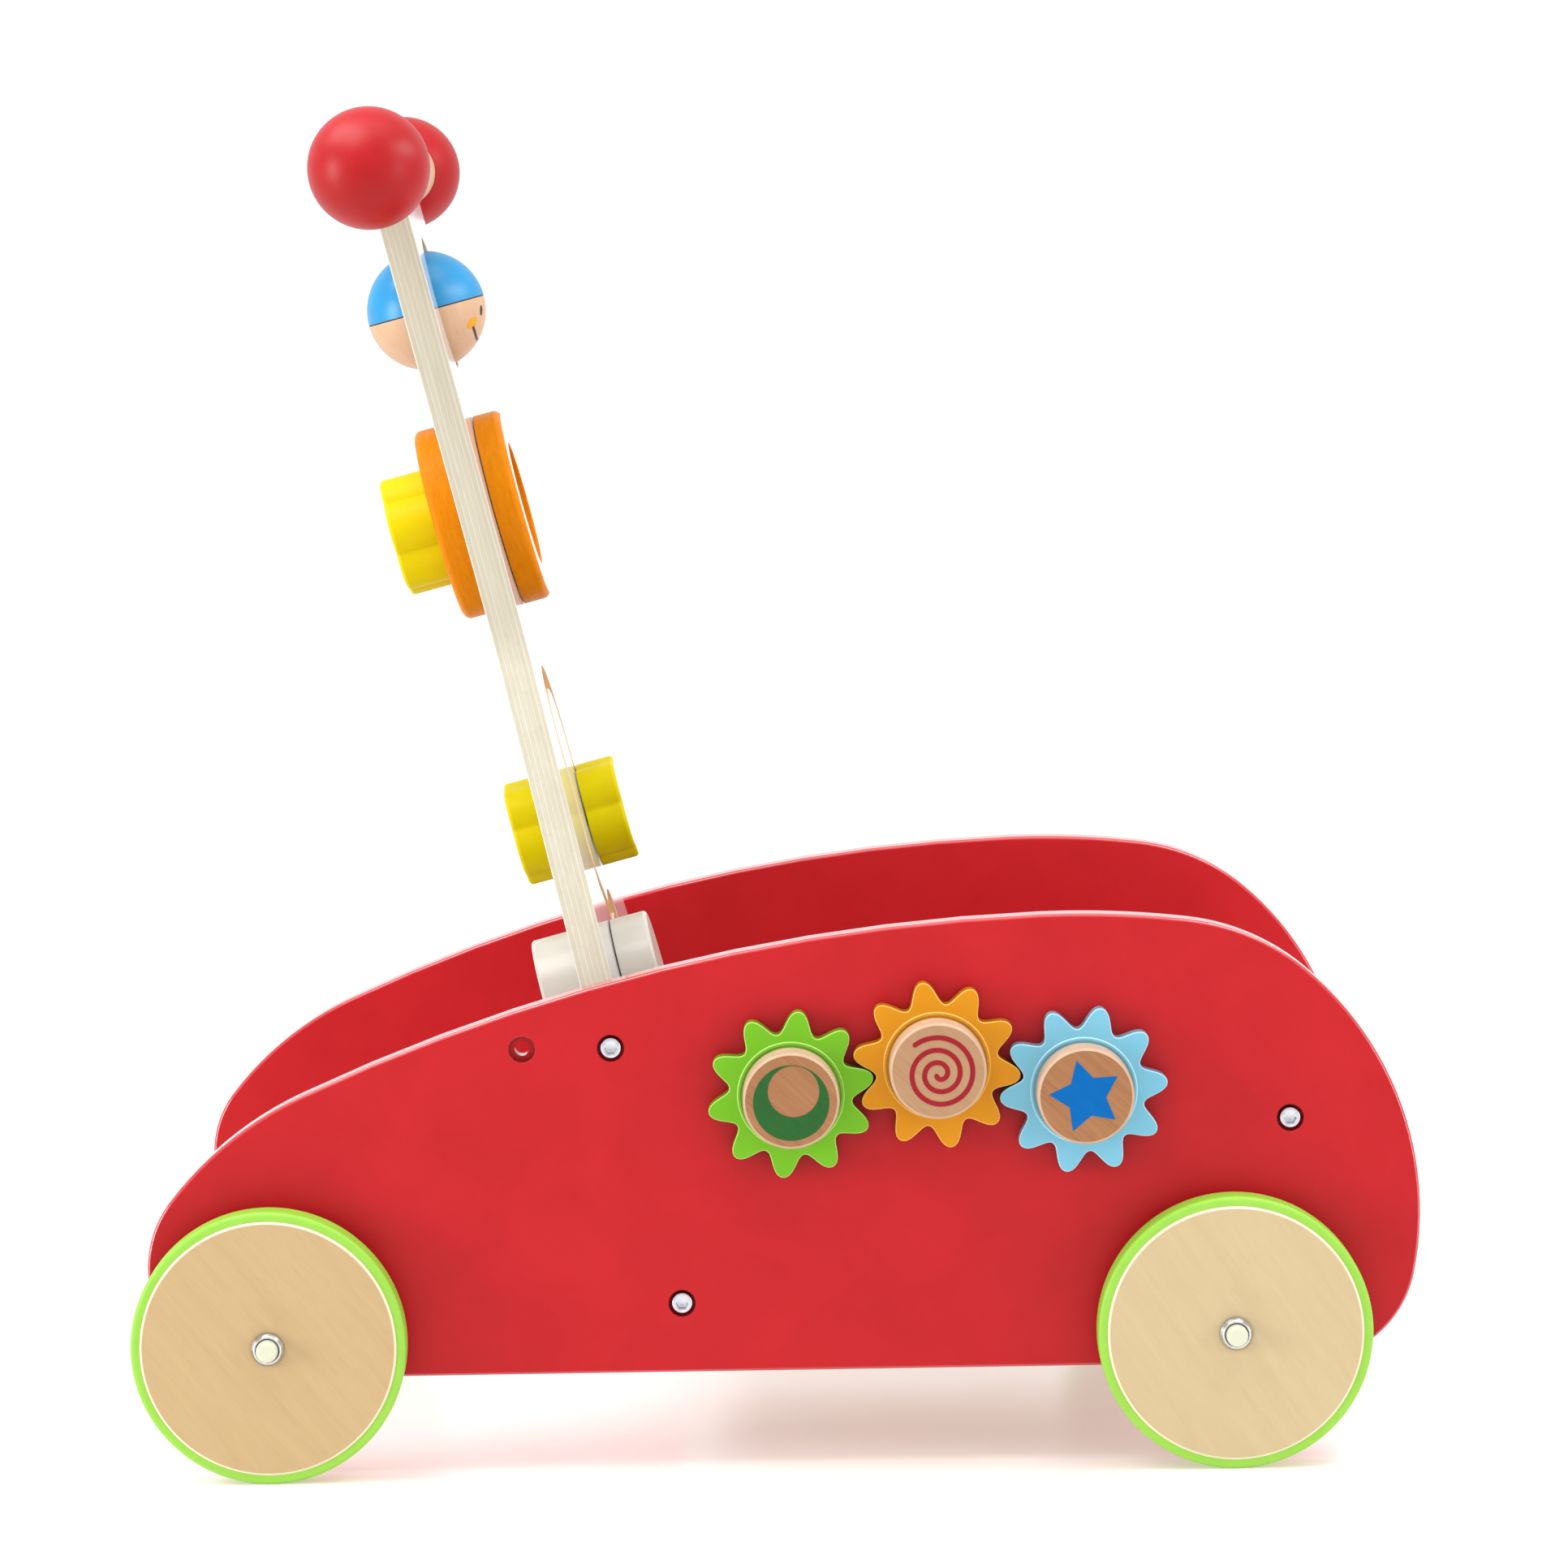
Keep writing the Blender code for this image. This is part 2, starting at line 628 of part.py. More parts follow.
def saddle_cutter(frame):
    """Hollow in the board's top edge that the handle bar is glued into."""
    reach = BOARD_HALF_TOP + CUT_MARGIN
    mesh = rod_mesh("board_saddle", BAR_RADIUS + GAP, -reach, reach, 32)
    cutter = on_board(add_object("board_saddle", mesh), frame, 0, BAR_UP)
    cutter.rotation_euler = (0, math.pi / 2, 0)
    return cutter


def spindle_socket_cutter(frame):
    reach = WINDOW_RADIUS + SPINDLE_SOCKET + SOCKET_SPARE
    cutter = add_object("board_spindle_sockets", rod_mesh("sockets", SPINDLE_BORE, -reach, reach, 12))
    return on_board(cutter, frame, 0, WINDOW_UP, along_up=True)


def build_handle(frame):
    flat = BALL_Y - BALL_FACE - GAP
    tip = BALL_Y - BALL_FACE + TENON_LENGTH
    profile = [(0, -tip), (TENON_RADIUS, -tip), (TENON_RADIUS, -flat), (BAR_RADIUS, -flat)]
    profile += [(radius, -height) for radius, height in reversed(profile)]
    bar = add_object("handle_bar", turned_mesh("handle_bar", profile, 32), BEECH)
    on_board(bar, frame, 0, BAR_UP)
    bar.rotation_euler = (0, math.pi / 2, 0)
    facets = 10
    start = math.asin(BALL_FACE / BALL_RADIUS)
    for side in (RIGHT, LEFT):
        name = side_name(side) + "_handle_ball"
        socket = TENON_LENGTH + SOCKET_SPARE - BALL_FACE
        profile = [(0, socket), (TENON_RADIUS + GAP, socket), (TENON_RADIUS + GAP, -BALL_FACE)]
        for i in range(facets):
            angle = -start + (math.pi / 2 + start) * i / facets
            profile.append((BALL_RADIUS * math.cos(angle), BALL_RADIUS * math.sin(angle)))
        profile.append((0, BALL_RADIUS))
        ball = add_object(name, turned_mesh(name, profile, 28), RED, BALL_SMOOTH)
        on_board(ball, frame, side * BALL_Y, BAR_UP)
        ball.rotation_euler = (0, side * math.pi / 2, 0)


def build_head(frame):
    """Two half balls on a spindle: a cap above the seam and a face below it."""
    facets = 7
    top = math.acos(SPINDLE_BORE / HEAD_RADIUS)
    seam = GAP / 2
    profile = [(SPINDLE_BORE, seam)]
    for i in range(facets + 1):
        angle = top * i / facets
        profile.append((HEAD_RADIUS * math.cos(angle), max(HEAD_RADIUS * math.sin(angle), seam)))
    for name, finish, upside_down in (("head_cap", BLUE, False), ("head_face", BEECH, True)):
        half = add_object(name, turned_mesh(name, profile, 28, closed=True), finish, BALL_SMOOTH)
        on_board(half, frame, 0, HEAD_UP, along_up=True)
        if upside_down:
            half.rotation_euler = (math.pi / 2, 0, 0)
    reach = WINDOW_RADIUS + SPINDLE_SOCKET
    spindle_mesh = rod_mesh("head_spindle", SPINDLE_RADIUS, -reach, reach, 12)
    on_board(add_object("head_spindle", spindle_mesh, STEEL), frame, 0, WINDOW_UP, along_up=True)


def build_spinner(frame):
    near_face = BOARD_FACE + SPINNER_OFF
    bore = SPINNER_AXLE_RADIUS + GAP
    top = FRONT_RING_THICKNESS
    floor = top - RECESS_DEPTH
    profile = rounded_ring(bore, SPINNER_RADIUS, 0, top, SPINNER_EASE, SPINNER_ROUND)
    profile[-1:] = [(RECESS_RADIUS, top), (RECESS_RADIUS, floor), (bore, floor)]
    front_mesh = turned_mesh("spinner_front_ring", profile, 40, closed=True)
    on_board(add_object("spinner_front_ring", front_mesh, ORANGE), frame, 0, SPINNER_UP, near_face)
    profile = rounded_ring(bore, SPINNER_RADIUS, 0, REAR_DISC_THICKNESS, SPINNER_EASE, SPINNER_ROUND)
    rear_mesh = turned_mesh("spinner_rear_disc", profile, 40, closed=True)
    rear = add_object("spinner_rear_disc", rear_mesh, ORANGE)
    on_board(rear, frame, 0, SPINNER_UP, -near_face, flip=True)

    knob_face = near_face + REAR_DISC_THICKNESS + KNOB_GAP
    outline = flower_outline(KNOB_TIP, KNOB_PETALS, KNOB_TURN)
    knob = build_flower("flower_knob", outline, KNOB_THICKNESS, bore, KNOB_SOCKET)
    on_board(knob, frame, 0, SPINNER_UP, -knob_face, flip=True)

    tail = -knob_face - KNOB_SOCKET + SOCKET_SPARE
    head_low = near_face + floor + GAP
    head_top = head_low + SPINNER_HEAD_HEIGHT
    profile = [(0, tail), (SPINNER_AXLE_RADIUS, tail), (SPINNER_AXLE_RADIUS, head_low),
               (SPINNER_HEAD_RADIUS, head_low), (SPINNER_HEAD_FLAT, head_top), (0, head_top)]
    axle = add_object("spinner_axle", turned_mesh("spinner_axle", profile, 16), STEEL)
    on_board(axle, frame, 0, SPINNER_UP)


def build_flower(name, outline, thickness, bore, socket):
    """Petalled block with a blind socket in its underside."""
    count = len(outline(0.0))
    rings = [[(0.0, 0.0, socket)], circle(bore, count, socket), circle(bore, count, 0.0)]
    levels = ((0, PIECE_ROUND / 2), (PIECE_ROUND / 2, 0),
              (thickness - PIECE_ROUND, 0), (thickness, PIECE_ROUND))
    rings += [[(x, y, z) for x, y in outline(inset)] for z, inset in levels]
    return add_object(name, mesh_from_rings(name, rings, closed=False), YELLOW)


def build_roundel(name, thickness, bore):
    """Round block with a blind socket in its underside."""
    profile = [(0, PIN_SOCKET), (bore, PIN_SOCKET), (bore, 0)]
    profile += quarter(ROUNDEL_RADIUS, 0, PIECE_ROUND / 2, False, 1)
    profile += quarter(ROUNDEL_RADIUS, thickness, PIECE_ROUND, True)
    profile.append((0, thickness))
    return add_object(name, turned_mesh(name, profile, 32), WHITE)


def build_sliders(frame):
    near_face = BOARD_FACE + SLIDER_OFF
    bore = PIN_RADIUS + GAP
    for half, label in enumerate(("front", "rear")):
        flip = label == "rear"
        out = -near_face if flip else near_face
        # Turned over, a half shows its outline mirrored, so its angles are measured the other way.
        turn = 180 - FLOWER_TURN if flip else FLOWER_TURN
        outline = flower_outline(FLOWER_TIP, FLOWER_PETALS, turn)
        flower = build_flower(f"flower_slider_{label}", outline, FLOWER_THICKNESS[half], bore, PIN_SOCKET)
        on_board(flower, frame, *FLOWER_AT, out, flip=flip)
        roundel = build_roundel(f"round_slider_{label}", ROUNDEL_THICKNESS[half], bore)
        on_board(roundel, frame, *ROUNDEL_AT, out, flip=flip)
    reach = near_face + PIN_SOCKET - SOCKET_SPARE
    for name, place in (("flower_slider_pin", FLOWER_AT), ("round_slider_pin", ROUNDEL_AT)):
        on_board(add_object(name, rod_mesh(name, PIN_RADIUS, -reach, reach, 16), BEECH), frame, *place)


def gear_places():
    """Gears as name: (ahead of the rear axle, up, tooth angle), with their teeth in mesh."""
    slope = math.degrees(math.atan2(GEAR_DROP, GEAR_PITCH_X))
    low_z = GEAR_Z - GEAR_DROP
    pitch = 360 / GEAR_TEETH
    # A tooth of one gear stands as far past the line of centres as the next gear's gap
    # stands before it, because the two turn opposite ways.
    rear_tooth = 2 * slope + 180 + pitch / 2 - GEAR_TOOTH_ANGLE
    front_tooth = -2 * slope + 180 + pitch / 2 - GEAR_TOOTH_ANGLE
    return {
        "gear_green": (GEAR_X - GEAR_PITCH_X, low_z, rear_tooth % pitch),
        "gear_orange": (GEAR_X, GEAR_Z, GEAR_TOOTH_ANGLE),
        "gear_blue": (GEAR_X + GEAR_PITCH_X, low_z, front_tooth % pitch),
    }


def build_gears():
    finishes = {"gear_green": GREEN_PLASTIC, "gear_orange": AMBER_PLASTIC, "gear_blue": SKY_PLASTIC}
    gear_low, gear_high = GEAR_OFF, GEAR_OFF + GEAR_THICKNESS
    low = gear_high + GAP
    high = low + BUTTON_HEIGHT
    post_end = low + POST_DEPTH
    socket = post_end + SOCKET_SPARE
    rim = BUTTON_RADIUS - BUTTON_CHAMFER
    button_profile = [(0, socket), (POST_BORE, socket), (POST_BORE, low), (BUTTON_RADIUS, low),
                      (BUTTON_RADIUS, high - BUTTON_CHAMFER), (rim, high), (0, high)]
    inner = -PANEL_THICKNESS - GAP
    head = inner - POST_HEAD_HEIGHT
    post_profile = [(0, head), (POST_HEAD_RADIUS, head), (POST_HEAD_RADIUS, inner),
                    (POST_RADIUS, inner), (POST_RADIUS, post_end), (0, post_end)]
    for name, (ahead, up, tooth_angle) in gear_places().items():
        gear_mesh = prism_mesh(name, gear_outline(tooth_angle), gear_low, gear_high, 0.0, POST_BORE)
        button_mesh = turned_mesh(name + "_button", button_profile, 32)
        post_mesh = turned_mesh(name + "_post", post_profile, 12)
        pieces = (
            add_object(name, gear_mesh, finishes[name]),
            add_object(name + "_button", button_mesh, BEECH),
            add_object(name + "_post", post_mesh, STEEL),
        )
        for piece in pieces:
            piece.matrix_world = side_matrix(RIGHT, ahead, up)


def build_axles():
    half = HALF_WIDTH + WHEEL_OUTER + GAP + CAP_HEIGHT - CAP_WALL - SOCKET_SPARE
    for name, ahead in (("rear_axle", 0.0), ("front_axle", WHEELBASE)):
        axle = add_object(name, rod_mesh(name, AXLE_RADIUS, -half, half, 16), STEEL)
        axle.location = (forward(ahead), 0, AXLE_Z)
        axle.rotation_euler = (-math.pi / 2, 0, 0)


def wheel_profiles():
    """Turned profiles of a wheel's pieces, with height measured out from the side panel."""
    low, high = WHEEL_INNER, WHEEL_OUTER
    rim = DISC_RADIUS - DISC_CHAMFER
    disc = [(AXLE_BORE, low), (rim, low), (DISC_RADIUS, low + DISC_CHAMFER),
            (DISC_RADIUS, high - DISC_CHAMFER), (rim, high), (AXLE_BORE, high)]
    tyre = rounded_ring(DISC_RADIUS + GAP, WHEEL_RADIUS, low, high, TYRE_ROUND, TYRE_ROUND, 1)
    face = high + GAP
    washer_top = face + WASHER_HEIGHT
    washer = [(WASHER_BORE, face), (WASHER_RADIUS, face),
              (WASHER_LIP, washer_top), (WASHER_BORE, washer_top)]
    top = face + CAP_HEIGHT
    ceiling = top - CAP_WALL
    cap = [(0, ceiling), (AXLE_BORE, ceiling), (AXLE_BORE, face), (CAP_RADIUS, face),
           (CAP_RADIUS, top - CAP_CHAMFER), (CAP_RADIUS - CAP_CHAMFER, top), (0, top)]
    spacer_top = GAP + SPACER_LENGTH
    spacer = [(AXLE_BORE, GAP), (SPACER_RADIUS, GAP),
              (SPACER_RADIUS, spacer_top), (AXLE_BORE, spacer_top)]
    return (
        ("wheel_disc", disc, 40, True, BIRCH),
        ("tyre", tyre, 40, True, LIME),
        ("cup_washer", washer, 20, True, STEEL),
        ("axle_cap", cap, 16, False, CREAM),
        ("wheel_spacer", spacer, 16, True, CREAM),
    )


def build_wheel(side, end):
    ahead = (0.0, WHEELBASE)[end]
    for label, profile, count, closed, finish in wheel_profiles():
        name = f"{('rear', 'front')[end]}_{side_name(side)}_{label}"
        piece = add_object(name, turned_mesh(name, profile, count, closed), finish)
        piece.matrix_world = side_matrix(side, ahead, AXLE_Z)


def main():
    clear_scene()
    frame = board_frame()
    for side in (RIGHT, LEFT):
        build_side_panel(side)
    build_wagon()
    build_board(frame)
    build_handle(frame)
    build_head(frame)
    build_spinner(frame)
    build_sliders(frame)
    build_gears()
    build_axles()
    for side in (RIGHT, LEFT):
        for end in (REAR, FRONT):
            build_wheel(side, end)
    build_bolts()


main()
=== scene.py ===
"""Look of a wooden baby walker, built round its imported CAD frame.

A side piece has X forward, Y up (on the right side) and Z out of the panel; a board piece has
X across, Y up the board and Z out of it.
"""
import json
import math

import bmesh
import bpy
from mathutils import Matrix, Vector, geometry


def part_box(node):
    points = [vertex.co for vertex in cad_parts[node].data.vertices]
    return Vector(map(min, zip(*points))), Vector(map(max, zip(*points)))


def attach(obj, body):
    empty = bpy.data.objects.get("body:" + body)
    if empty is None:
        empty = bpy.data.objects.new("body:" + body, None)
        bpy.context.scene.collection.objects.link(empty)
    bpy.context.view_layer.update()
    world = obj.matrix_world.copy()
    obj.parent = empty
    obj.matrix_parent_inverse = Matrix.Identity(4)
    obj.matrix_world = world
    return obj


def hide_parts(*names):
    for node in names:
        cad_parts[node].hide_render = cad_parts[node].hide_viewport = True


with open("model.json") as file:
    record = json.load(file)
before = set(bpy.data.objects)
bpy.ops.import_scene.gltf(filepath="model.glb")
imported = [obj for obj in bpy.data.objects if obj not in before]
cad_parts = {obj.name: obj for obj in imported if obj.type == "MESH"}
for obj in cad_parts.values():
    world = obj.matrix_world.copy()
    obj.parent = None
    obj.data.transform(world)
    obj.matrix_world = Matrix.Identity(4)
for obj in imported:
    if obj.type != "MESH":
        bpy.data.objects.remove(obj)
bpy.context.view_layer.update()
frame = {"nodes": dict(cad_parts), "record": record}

MM = 0.001
RIGHT, LEFT = -1, 1

# Side panels
HALF_WIDTH = 140
PANEL = 12
PANEL_BOTTOM = 35
PANEL_START = 378.3               # front end of the straight bottom edge, from the rear axle
PANEL_EASE = 1.5
PANEL_ARCS = ((40.6, 78.6), (117.5, 60.9), (81.4, 33.4), (355, 8.8), (704, 22.7), (129, 27.7),
              (40.7, 127.9))      # (radius, sweep in degrees) from the front foot to the rear
SINK_RADIUS = 4.85
SINK_DEPTH = 4.6
SINK_EASE = 0.5
BORE_EASE = 0.3
BOLT_BORE = 2.8
SPARE_HOLE = (93.2, 155.1)        # forward of the rear axle, and up
BOLT_HEAD = 3.9
BOLT_HIGH = 3.6
BOLT_ROUND = 0.7
BOLT_SOCKET = 2.3                 # to the hexagon's corners
BOLT_SOCKET_FLOOR = 1.4
BOLT_GAP = 0.3                    # below the head

# Handle board and what it carries, as (across, up) from the upper bolts
BOARD = 12
BOARD_EASE = 0.7
BOARD_SIDE = ((127.7, -113), (127.7, -4), (61.4, 146.7), (48.9, 322))
FLARE_ROUND = 2
SHOULDER_ROUND = 60
SLOT_FINISH_HALF = 45             # edge faces in this box get the slots' finish
SLOT_FINISH_UP = (BOARD_SIDE[0][1] + 20, 310)
BAR_UP = 330.8
BAR_RADIUS = 13.5
BAR_EASE = 0.8
BALL_RADIUS = 22.4
BALL_FACE = 18
BALL_Y = 110
WINDOW_UP = 277
WINDOW_RADIUS = 25.5

# Head: two halves on a spindle, with a painted face
HEAD_UP = 275.4
HEAD_RADIUS = 22.8
SPINDLE_HOLE = 2.8
HEAD_FLAT = 22.2                  # height of the rim round the spindle's hole
HEAD_ROUND_END = 83               # where the ball stops, degrees up from the seam
SEAM = 0.16                       # from the middle of the head to a half's flat face
# half the thickness of the dark band that fills the gap between the halves, as painted shade
SEAM_SHADE = 0.15
SEAM_RECESS = 0.16
SEAM_INNER = 6
SMILE_HALF = 12.7
SMILE_LOW = -16.3
SMILE_RISE = 6.3
SMILE_CURVE = 2.3
SMILE_STROKE = 0.4                # half its width
EYE_AT = (8, -5.4)
EYE = (1.1, 1.9)
CHEEK_AT = (12.9, -9.1)
CHEEK = (2.2, 2.0)
MARK_ROOT = -0.3
MARK_TOP = 0.1

# Spinner, with the flower knob behind it
SPINNER_UP = 194.4
SPINNER_RADIUS = 37.3
SPINNER_BORE = 4.4
SPINNER_ROUND = 2.8
SPINNER_OFF = 0.7
SPINNER_FRONT = 10
SPINNER_REAR = 10.8
RECESS_RADIUS = 23.6
RECESS_DEPTH = 4
KNOB_OFF = 1.2
KNOB = 16.4
KNOB_TIP = 23.3
KNOB_PETALS = 6
KNOB_TURN = 14
VALLEY_SHARE = 0.88               # radius between petals over the radius at their tips

# Slots and sliders
SLOT_HALF = 4.5
ARCH = 27
UPPER_ARCH_UP = 100.7
UPPER_LEG_BEND = ((-ARCH, 62), (-24, 50))
UPPER_LEG_JOINS = 125             # where it meets the lower arch, degrees round that arch
LOWER_ARCH = (17, 8.2)
SMALL_ARCH = 11
SMALL_ARCH_UP = 14
SHARED_LEG_BOTTOM = 6
TRACK_BOTTOM = -30
SLIDER_OFF = 0.8
NEAR = -0.45                      # how far discs and sliders reach towards the board
BACK_EASE = 0.4                   # rounding on the side towards the board
PETAL_ROUND = 1.6
FLOWER_AT = (27, 69.3)
FLOWER_TIP = 20.8
FLOWER_PETALS = 5
FLOWER_TURN = -10
FLOWER = {"front": 14.6, "rear": 16.2}
ROUNDEL_AT = (LOWER_ARCH[0] - ARCH - 2 * SMALL_ARCH, 8.5)
ROUNDEL_RADIUS = 25
ROUNDEL_ROUND = 1.4
ROUNDEL = {"front": 13.8, "rear": 18}

# Wheels, heights measured out from the panel
TYRE_RADIUS = 50
DISC_RADIUS = 46.6
DISC_BORE = 3.5
DISC_CHAMFER = 0.8
WHEEL_LOW = 6
WHEEL_HIGH = 20
WASHER_FACE = WHEEL_HIGH + 0.3
WASHER_BORE = 4.3
WASHER_HIGH = 2.6
CAP_RADIUS = 3.95
CAP_HIGH = 6.6

# Gears
TEETH = 10
GEAR_ROOT = 22.5
GEAR_TIP = 30.6
GEAR_FLATNESS = 0.12              # 0 leaves the teeth a plain wave
GEAR_LOW = 1
GEAR_HIGH = 8.5
LIP = (18.2, 19.6)                # inner and outer radius of the bead round the button
LIP_SINK = 0.3
LIP_RISE = 0.7
LIP_ROUND = 0.66
BUTTON_RADIUS = 17.5
BUTTON_LOW = 8.8
BUTTON_HIGH = 23.5
BUTTON_CHAMFER = 0.9
TOOTH_ANGLE = {"gear_green": 11.7, "gear_orange": 27.6, "gear_blue": 5.1}

# Marks on the buttons
STAR_RADII = (13.5, 7.2)
STAR_TURN = 32.5
SPIRAL_AT = (0.3, -1.0)
SPIRAL_RADIUS = 13.7
SPIRAL_PITCH = 4.55
SPIRAL_TURNS = 2.75
SPIRAL_START = 129
SPIRAL_STROKE = 0.9               # half its width
CRESCENT_OUTER = (13.75, (0, -0.65))
CRESCENT_INNER = (9.3, (0.9, 3.5))

SHARP = 40                        # edges that turn more than this stay sharp, degrees
WALL_LEAN = 0.2                   # a face whose normal has less Z than this is a wall


# ---------------------------------------------------------------- placing

def middle(node):
    low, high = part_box(node)
    return (low + high) / 2


def side_matrix(side, node):
    """Frame on a side panel's outer face, in line with a CAD node."""
    at = middle(node)
    turn = Matrix.Rotation(-side * math.pi / 2, 4, "X")
    return Matrix.Translation((at.x, side * HALF_WIDTH * MM, at.z)) @ turn


def joint_axis(name):
    for joint in frame["record"]["behaviour"]["joints"]:
        if joint["name"] == name:
            return Vector(joint["axis"]).normalized()


def board_matrix(across=0.0, up=0.0, out=0.0, flip=False):
    """Frame on the board's middle plane, measured from the upper bolts."""
    origin = middle("right_board_upper_bolt")
    normal = joint_axis("spinner_spin")
    rise = joint_axis("head_spin")
    basis = Matrix((rise.cross(normal), rise, normal)).transposed().to_4x4()
    place = Matrix.Translation((origin.x, 0, origin.z)) @ basis @ Matrix.Translation(
        Vector((across, up, out)) * MM)
    return place @ Matrix.Rotation(math.pi, 4, "Y") if flip else place


# ---------------------------------------------------------------- outlines

def around(centre, radius, degrees):
    """Point on a circle."""
    angle = math.radians(degrees)
    return (centre[0] + radius * math.cos(angle), centre[1] + radius * math.sin(angle))


def arc(centre, radius, start, end, steps):
    """Points round an arc, angles in degrees."""
    return [around(centre, radius, start + (end - start) * i / steps) for i in range(steps + 1)]


def ring(radius, steps=64, centre=(0, 0)):
    return arc(centre, radius, 0, 360, steps)[:-1]


def hole(radius, steps=32, centre=(0, 0)):
    return ring(radius, steps, centre)[::-1]


def soften(corners, steps=5):
    """Round the corners of an outline of (x, y, radius); a point with no radius stays sharp."""
    points = []
    for i, corner in enumerate(corners):
        here = Vector(corner[:2])
        if len(corner) < 3:
            points.append(here)
            continue
        back = (Vector(corners[i - 1][:2]) - here).normalized()
        ahead = (Vector(corners[(i + 1) % len(corners)][:2]) - here).normalized()
        half = back.angle(ahead) / 2
        centre = here + (back + ahead).normalized() * corner[2] / math.sin(half)
        start = here + back * corner[2] / math.tan(half) - centre
        end = here + ahead * corner[2] / math.tan(half) - centre
        sweep = math.pi - 2 * half
        for k in range(steps + 1):
            t = k / steps
            points.append(centre + (math.sin((1 - t) * sweep) * start
                                    + math.sin(t * sweep) * end) / math.sin(sweep))
    return [tuple(point) for point in points]


def offset(loop, inset):
    """Move a loop into the material on its left."""
    if not inset:
        return loop
    moved = []
    for i, point in enumerate(loop):
        here = Vector(point)
        one = (here - Vector(loop[i - 1])).normalized()
        two = (Vector(loop[(i + 1) % len(loop)]) - here).normalized()
        normal = (one + two).normalized()
        normal = Vector((-normal.y, normal.x))
        stretch = max(normal.dot(Vector((-one.y, one.x))), 0.5)
        moved.append(tuple(here + normal * inset / stretch))
    return moved


def strip(line, half_width, steps=10):
    """Outline of constant width with round ends along a line of points."""
    line = [Vector(point) for point in line]
    normals = []
    for i in range(len(line)):
        ahead = (line[min(i + 1, len(line) - 1)] - line[max(i - 1, 0)]).normalized()
        normals.append(Vector((ahead.y, -ahead.x)))
    points = [p + half_width * n for p, n in zip(line, normals)]
    points += end_cap(line[-1], normals[-1], half_width, steps)
    points += [p - half_width * n for p, n in zip(line[::-1], normals[::-1])]
    points += end_cap(line[0], -normals[0], half_width, steps)
    return [tuple(point) for point in points]


def end_cap(centre, normal, radius, steps):
    start = math.degrees(math.atan2(normal.y, normal.x))
    return [Vector(p) for p in arc(centre, radius, start, start + 180, steps)[1:-1]]


def union(loops):
    """Outer loops of overlapping anticlockwise loops, as one anticlockwise loop."""
    points = [Vector(p) for loop in loops for p in loop]
    edges, faces, first = [], [], 0
    for loop in loops:
        faces.append(list(range(first, first + len(loop))))
        edges += [(a, b) for a, b in zip(faces[-1], faces[-1][1:] + faces[-1][:1])]
        first += len(loop)
    verts, _, tris, _, _, origins = geometry.delaunay_2d_cdt(points, edges, faces, 0, 1e-4)
    sides = {}
    for tri, source in zip(tris, origins):
        if source:
            for a, b in zip(tri, tri[1:] + tri[:1]):
                sides[a, b] = True
    onward = {a: b for a, b in sides if (b, a) not in sides}
    outlines = []
    while onward:
        start, here = onward.popitem()
        loop = [start]
        while here != start:
            loop.append(here)
            here = onward.pop(here)
        outlines.append([tuple(verts[i]) for i in loop])
    return outlines


def panel_outline():
    """Anticlockwise (forward of the rear axle, up)."""
    x, z, heading = PANEL_START, PANEL_BOTTOM, 0.0
    points = [(x, z)]
    for radius, sweep in PANEL_ARCS:
        steps = max(10, round(sweep / 2.5))
        for _ in range(steps):
            turn = math.radians(sweep / steps)
            x += radius * (math.sin(heading + turn) - math.sin(heading))
            z += radius * (math.cos(heading) - math.cos(heading + turn))
            heading += turn
            points.append((x, z))
    return points


def petals(tip, count, turn, steps=28):
    """Round petals; one points turn degrees from straight across."""
    half = math.pi / count
    valley = VALLEY_SHARE * tip
    centre = (tip ** 2 - valley ** 2) / (2 * (tip - valley * math.cos(half)))
    reach = tip - centre
    end = half + math.asin(centre * math.sin(half) / reach)
    points = []
    for k in range(count):
        base = math.radians(turn) + 2 * half * k
        for i in range(steps):
            swing = base + end * (2 * i / steps - 1)
            points.append((centre * math.cos(base) + reach * math.cos(swing),
                           centre * math.sin(base) + reach * math.sin(swing)))
    return points


def gear_teeth(angle, steps=28):
    points = []
    for i in range(TEETH * steps):
        wave = math.cos(2 * math.pi * i / steps)
        lift = 0.5 + 0.5 * (wave + GEAR_FLATNESS * (wave - wave ** 3))
        reach = GEAR_ROOT + (GEAR_TIP - GEAR_ROOT) * lift
        at = math.radians(angle) + 2 * math.pi * i / (TEETH * steps)
        points.append((reach * math.cos(at), reach * math.sin(at)))
    return points


def board_outline():
    base, flare, shoulder, top = BOARD_SIDE
    right = [base, flare + (FLARE_ROUND,), shoulder + (SHOULDER_ROUND,), top]
    mirrored = [(-c[0],) + tuple(c[1:]) for c in reversed(right)]
    return soften(right + mirrored, 8)


def track():
    """The slots the two sliders run in, merged where they meet."""
    arch = arc((0, UPPER_ARCH_UP), ARCH, 0, 180, 40)
    upper = [FLOWER_AT, *arch, *UPPER_LEG_BEND, around(LOWER_ARCH, ARCH, UPPER_LEG_JOINS)]
    lower = arc(LOWER_ARCH, ARCH, 180, 0, 40) + [(LOWER_ARCH[0] + ARCH, TRACK_BOTTOM)]
    centre = (ROUNDEL_AT[0] + SMALL_ARCH, SMALL_ARCH_UP)
    small = [(ROUNDEL_AT[0], TRACK_BOTTOM)] + arc(centre, SMALL_ARCH, 180, 0, 24)
    small.append((centre[0] + SMALL_ARCH, SHARED_LEG_BOTTOM))
    return union([strip(line, SLOT_HALF) for line in (upper, lower, small)])


# ---------------------------------------------------------------- meshes

